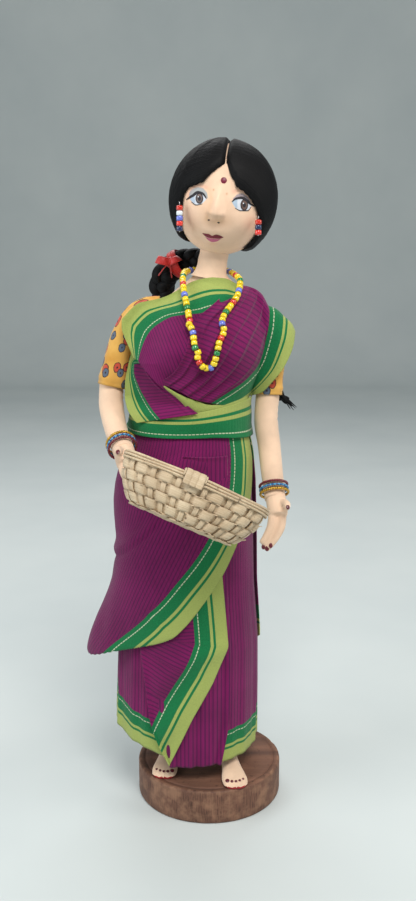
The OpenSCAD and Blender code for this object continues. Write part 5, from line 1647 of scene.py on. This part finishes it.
def basket():
    NST = 28
    th, per = even_angles(561)
    ph = np.linspace(0, NST * np.pi, 561)
    weave, stakes = [], []
    rows = [(3.3, 7.6), (7.9, 12.1), (12.4, 16.4), (16.7, 20.4)]
    for k, (a, b) in enumerate(rows):
        s = np.sin(ph + k * np.pi)
        off = -0.55 + 1.12 * np.sign(s) * np.abs(s) ** 0.55
        weave.append(splint("w", th, a, b, off, 0.8, seed=k + 1))
    # stakes stand between the strips
    thx, _ = even_angles(NST + 1)
    centre = np.interp((np.arange(NST) + 0.5) / NST * 2, np.linspace(0, 2, 561), th)
    for i, c in enumerate(centre):
        dep = np.linspace(1.2, 20.8, 34)
        side = np.zeros_like(dep)
        for k, (a, b) in enumerate(rows):
            sgn = -np.sign(math.sin((i + 0.5) * math.pi + k * math.pi))
            side += sgn * np.exp(-((dep - (a + b) / 2) / 2.4) ** 2)
        off = -0.55 + 0.62 * side
        half = 1.2
        m = 5
        q = np.linspace(-1, 1, m)
        dth = half / np.hypot(BA * math.sin(c), BB * math.cos(c))
        out = [bpt(np.full_like(dep, c) + dth * w / wall(dep / BD), dep, off + 0.33) for w in q]
        inn = [bpt(np.full_like(dep, c) + dth * w / wall(dep / BD), dep, off - 0.33) for w in q[::-1]]
        G = to_basket(np.stack(out + inn + out[:1], 0))
        uv = np.stack(np.meshgrid(dep * 1.0 + i * 17, np.r_[q, q[::-1], q[0]] * 1.5 + i * 3), -1)
        stakes.append(grid_obj("k", G, M_CANE, uv))
    body = join("basket_weave", weave)
    st = join("basket_stakes", stakes)
    # woven floor
    kb = wall(0.94)
    fl = []
    for axis in range(2):
        span = BA * kb if axis else BB * kb
        other = BB * kb if axis else BA * kb
        n = int(2 * span / 4.6)
        for i in range(n):
            c = -span + (i + 0.5) * 2 * span / n
            ln = other * math.sqrt(max(0.02, 1 - (c / span) ** 2)) - 0.3
            s = np.linspace(-ln, ln, 60)
            zz = -BD + 0.9 + 0.45 * np.sin(s / 4.6 * np.pi + (i % 2) * np.pi + (axis) * np.pi * 0.5)
            path = np.stack([np.full_like(s, c), s, zz], -1) if axis else np.stack([s, np.full_like(s, c), zz], -1)
            path = to_basket(path)
            fl.append(sweep("f", path, 1.95, 0.30, n=8, mat=M_CANE, ref=tuple(ROT @ np.array([0, 0, 1.0]))))
    floor_ = join("basket_floor", fl)
    # rim: three split canes outside, one band inside
    out = []
    th2, _ = even_angles(241)
    for k, (z, o, r, w) in enumerate(((0.1, 0.9, 0.62, 0.75), (1.35, 1.15, 0.6, 0.7), (2.65, 1.0, 0.58, 0.68))):
        pth = to_basket(bpt(th2, z + 0.12 * np.sin(th2 * 5 + k), o + 0.1 * np.sin(th2 * 7 + k * 2)))
        out.append(sweep("h", pth, w, r, n=12, mat=M_CANE, ref=tuple(ROT @ np.array([0, 0, 1.0])), caps=False))
    outer = join("basket_outer_rim", out)
    out = []
    for k, (z, o) in enumerate(((0.0, -1.75), (1.3, -1.85))):
        pth = to_basket(bpt(th2, z + 0.1 * np.sin(th2 * 4 + k), o + 0.08 * np.sin(th2 * 6 + k)))
        out.append(sweep("h", pth, 0.66, 0.5, n=10, mat=M_CANE, ref=tuple(ROT @ np.array([0, 0, 1.0])), caps=False))
    inner = join("basket_inner_rim", out)
    # binding: a flat cane lapped over the rim
    out = []
    for j in range(3):
        xc = -6.6 + j * 3.1
        prof = [[-2.75, -4.9], [-2.9, -2.0], [-2.75, 0.6], [-1.2, 1.75], [1.0, 1.9], [3.2, 1.5], [4.1, 0.2], [4.2, -2.9]]
        q = resample([[xc, -BB + a, b] for a, b in prof], 36)
        out.append(sweep("b", to_basket(q), 1.6, 0.42, n=10, mat=M_CANE, ref=tuple(ROT @ np.array([0, 0.2, 1.0])), prof=lambda a: 1.0 / np.maximum(np.abs(np.cos(a)), np.abs(np.sin(a))) ** 0.6))
    for xe in (-8.7, 1.6):
        q = resample([[xe, -BB - 2.4, -1.6], [xe, -BB - 2.5, 0.6], [xe, -BB - 0.8, 1.4], [xe, -BB + 1.6, 1.4]], 16)
        out.append(sweep("b", to_basket(q), 0.5, 0.4, n=8, mat=M_CANE))
    bind = join("basket_wrap", out)
    # loose ends of cane that stick out of the weave
    out = []
    for i in range(9):
        a = RNG.uniform(np.pi, 2 * np.pi)
        dep = rows[i % 4][0] + 0.4
        tt = np.linspace(0, 1, 8)
        q = to_basket(bpt(a + tt * 0.09, dep - tt * 0.8, 0.9 + tt * 1.0))
        out.append(sweep("e", q, 0.24 * (1 - tt * 0.5), n=6, mat=M_CANE))
    ends = join("basket_splinters", out)
    return body, st, floor_, outer, inner, bind, ends
# ------------------------------------------------------------------ camera and light
cam_d = bpy.data.cameras.new("cam")
cam = bpy.data.objects.new("cam", cam_d)
COL.objects.link(cam)
cam.location = (-0.00066, -0.500, 0.29706)
cam.rotation_euler = (math.radians(90 - 11.93), 0, 0)
cam_d.lens = 39.19
cam_d.sensor_width = 36
cam_d.sensor_fit = "AUTO"
cam_d.clip_start = 0.01
cam_d.clip_end = 20
bpy.context.scene.camera = cam


def area(name, loc, target, size, power, color=(1, 1, 1)):
    d = bpy.data.lights.new(name, "AREA")
    d.shape = "RECTANGLE"
    d.size, d.size_y = size
    d.energy = power
    d.color = color
    o = bpy.data.objects.new(name, d)
    COL.objects.link(o)
    o.location = loc
    o.rotation_euler = (Vector(target) - Vector(loc)).to_track_quat("-Z", "Y").to_euler()
    return o


area("key", (0.15, -0.75, 1.15), (0, 0, 0.2), (0.55, 0.45), 11.8, (1.0, 0.975, 0.94))
area("fill_left", (-0.95, -0.45, 0.55), (0, 0, 0.17), (0.7, 0.8), 5.2, (0.93, 0.97, 1.0))
area("fill_right", (0.85, -0.25, 0.6), (0, 0, 0.17), (0.5, 0.7), 2.8, (1.0, 0.97, 0.93))
area("top_back", (-0.1, 0.65, 1.0), (0, 0, 0.22), (0.8, 0.4), 4.8)
w = bpy.data.worlds.new("w")
bpy.context.scene.world = w
w.use_nodes = True
w.node_tree.nodes["Background"].inputs[0].default_value = (0.80, 0.84, 0.86, 1)
w.node_tree.nodes["Background"].inputs[1].default_value = 0.34
bpy.context.scene.view_settings.view_transform = "Standard"


def backdrop():
    """Plain pale sweep: floor and wall in one."""
    y = np.r_[np.linspace(-900, 1540, 12), 1540 + 260 * np.sin(np.linspace(0.05, 1, 16) * np.pi / 2), np.full(10, 1800.0)]
    z = np.r_[np.zeros(12), 260 * (1 - np.cos(np.linspace(0.05, 1, 16) * np.pi / 2)), np.linspace(300, 1300, 10)]
    x = np.linspace(-1400, 1400, 12)
    P = np.stack([np.broadcast_to(x[None], (len(y), 12)), np.broadcast_to(y[:, None], (len(y), 12)), np.broadcast_to(z[:, None] - 0.02, (len(y), 12))], -1)
    k = NT("paper")
    n1 = k.noise(k.obj(), 6, 3)
    m = k.out(k.mix(k.remap(n1, 0.3, 0.7, 0, 1), srgb(196, 204, 204), srgb(204, 211, 210)), 0.9, k.bump(k.noise(k.obj(), 900, 3), 0.08, 0.0001), spec=0.2)
    ob = make_obj("backdrop", P.reshape(-1, 3), grid_faces(len(y), 12), m)


backdrop()


# ------------------------------------------------------------------ pieces
def put(ob, body, nodes=(), bl=None):
    if bl:
        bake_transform(ob)
    else:
        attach(ob, body)
    for n in nodes:
        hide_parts(n)
    return ob


P_ = {}
P_["base"] = put(base(), "root", ["base_disc"])
P_["torso"] = put(torso_skin(), "root", ["torso"])
P_["neck"] = put(neck(), "root", ["neck"])
P_["bodice"] = put(bodice(), "root", ["bodice"])
P_["petticoat"] = put(petticoat(), "root", ["petticoat"])
LEG_L = ([11, -13, 18.5], [-1, -3, 165])
LEG_R = ([-22, -3, 18.5], [-24, -2, 165])
put(leg("leg_left_cloth", *LEG_L), "root", ["leg_left"])
put(leg("leg_right_cloth", *LEG_R), "root", ["leg_right"])
for side, (ax, ay), yaw in (("left", (11, -13), 8), ("right", (-22, -3), -6)):
    f, d = foot("foot_" + side, ax, ay, yaw)
    put(f, "root", ["foot_" + side])
    put(d, "root")

P_["inner"] = put(inner_wrap(), "root", ["sari_inner_wrap"])
P_["panel"] = put(pleat_panel(), "root")
P_["pleat"] = put(pleat_front(), "root", ["sari_front_pleats"])
P_["outer"] = put(outer_wrap(), "root", ["sari_outer_wrap"])
P_["tuck"] = put(tuck_seam(), "root")
P_["band"] = put(waist_band(), "root", ["sari_waist_band"])
P_["chest"] = put(chest_right(), "root", ["sari_chest"])
P_["cross"] = put(chest_low(), "root")
P_["under"] = put(chest_underside(), "root")
pl = pallu()
necks, thread = necklace([P_["torso"], P_["neck"], P_["chest"], pl])
P_["pallu"] = put(pl, None, ["sari_shoulder"], bl=("root", "arm_left", (20, 0, 259), (31, 0, 259)))
P_["fall"] = put(back_fall(), "root", ["sari_back_fall"])

SL_R = [[-24, 0, 264.5], [-31, 0, 263.2], [-37, 0, 259], [-41.2, 0, 251.5], [-45.6, -0.5, 240.5], [-48.6, -1.2, 231.5], [-50.0, -1.9, 225.5]]
SL_L = [[21, 1, 259.0], [26.5, 1, 257.5], [31.2, 0.5, 253.5], [32.4, 0, 247.5], [31.6, -0.5, 238], [30.8, -1.0, 229], [30.4, -1.6, 221.5]]
put(sleeve("sleeve_right_cloth", SL_R, [6.2, 7.2, 7.6, 7.7, 7.5, 7.3, 7.1], -1), None, ["sleeve_right"], bl=("root", "arm_right", (-25, 0, 259), (-36, 0, 259)))
put(sleeve("sleeve_left_cloth", SL_L, [3.4, 3.9, 4.8, 6.3, 7.0, 7.0, 6.8], 1), None, ["sleeve_left"], bl=("root", "arm_left", (20, 0, 259), (31, 0, 259)))
put(arm("arm_right_cloth", ARM_R, ARM_RR, 4), "arm_right", ["arm_right"])
put(arm("arm_left_cloth", ARM_L, ARM_RL, 9), "arm_left", ["arm_left"])
hr, hl = hand_right(), hand_left()
for h in (hr, hl):
    h.data.materials.clear()
    h.data.materials.append(M_SKIN)
put(hr, "arm_right", ["hand_right"])
put(hl, "arm_left", ["hand_left"])
nr = [nail("n", (-37.7, -48.8, 184.6), (-0.15, -0.9, 0.3), (0.95, 1.3, 0.35)), nail("n", (-35.7, -49.6, 182.9), (-0.1, -0.9, 0.3), (0.95, 1.3, 0.35)), nail("n", (-34.5, -48.7, 183.4), (0.1, -0.9, 0.3), (0.9, 1.2, 0.35)), nail("n", (-43.2, -47.2, 200.7), (-0.1, -0.7, 0.7), (1.0, 1.3, 0.4))]
put(join("nails_right", nr), "arm_right")
nl = [nail("n", (30.2, -37.7, 151.6), (0.1, -0.95, 0.2), (0.95, 1.3, 0.35)), nail("n", (28.4, -37.1, 149.8), (0, -0.95, 0.2), (0.95, 1.3, 0.35)), nail("n", (26.6, -37.0, 150.6), (0, -0.95, 0.2), (0.9, 1.2, 0.35)), nail("n", (38.2, -38.7, 171.4), (0.2, -0.8, 0.55), (0.95, 1.2, 0.4))]
put(join("nails_left", nl), "arm_left")

hd, bvh = head()
put(hd, "head", ["head"])
fp, bi = face(bvh)
put(fp, "head")
put(bi, "head", ["bindi"])
put(hair_half("hair_left_strands", 1), "head", ["hair_left"])
put(hair_half("hair_right_strands", -1), "head", ["hair_right"])
put(braid(), "braid", ["braid"])
put(ribbon(), "braid", ["ribbon"])
put(earring("earring_right_beads", EAR_R, ["red", "white", "blue", "coral", "navy"]), "earring_right", ["earring_right"])
put(earring("earring_left_beads", EAR_L, ["red", "navy", "coral"]), "earring_left", ["earring_left"])
for k, ob in enumerate(necks):
    put(ob, "necklace", ["necklace_beads"])
put(thread, "necklace", ["necklace_thread"])

for side, path, order in (("right", ARM_R, ("maroon", "blue", "gold")), ("left", ARM_L, ("gold", "blue", "maroon"))):
    cs, dr = bangle_centres(path)
    for i, kind in enumerate(order):
        put(bangle("bangle_%s_%s_ring" % (kind, side), cs[i], dr, kind, i), "bangles_" + side, ["bangle_%s_%s" % (kind, side)])

bw, bs, bf, bo, bin_, bb, be = basket()
put(bw, "arm_right", ["basket_body"])
for ob in (bs, bf, be):
    put(ob, "arm_right")
put(bo, "arm_right", ["basket_outer_hoop"])
put(bin_, "arm_right", ["basket_inner_hoop"])
put(bb, "arm_right", ["basket_binding"])

# wires keep their CAD form
for n in ("leg_wire_left", "leg_wire_right", "spine_wire", "arm_wire_left", "arm_wire_right"):
    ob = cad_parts[n]
    for s in ob.material_slots:
        s.material = M_STEEL


# ------------------------------------------------------------------ sizes of the cloth pieces, with how each is held and what it rests on
for ob, held, rests in ((P_["inner"], "gathered", [P_["petticoat"]]), (P_["panel"], "hung", [P_["inner"]]), (P_["pleat"], "folded", [P_["panel"], P_["inner"]]),
                        (P_["outer"], "draped", [P_["inner"], P_["petticoat"]]), (P_["tuck"], "folded", [P_["outer"]]), (P_["band"], "stretched", [P_["outer"]]),
                        (P_["chest"], "draped", [P_["bodice"]]), (P_["cross"], "draped", [P_["bodice"], P_["band"]]), (P_["under"], "folded", [P_["chest"]]),
                        (P_["pallu"], "draped", [P_["bodice"], P_["chest"]]), (P_["fall"], "hung", [P_["bodice"], P_["outer"]])):
    w_, l_, a_ = SIZES[ob.name]
    w_, l_, a_ = max(10.0, w_) * 0.001, max(10.0, l_) * 0.001, a_ * 1e-6
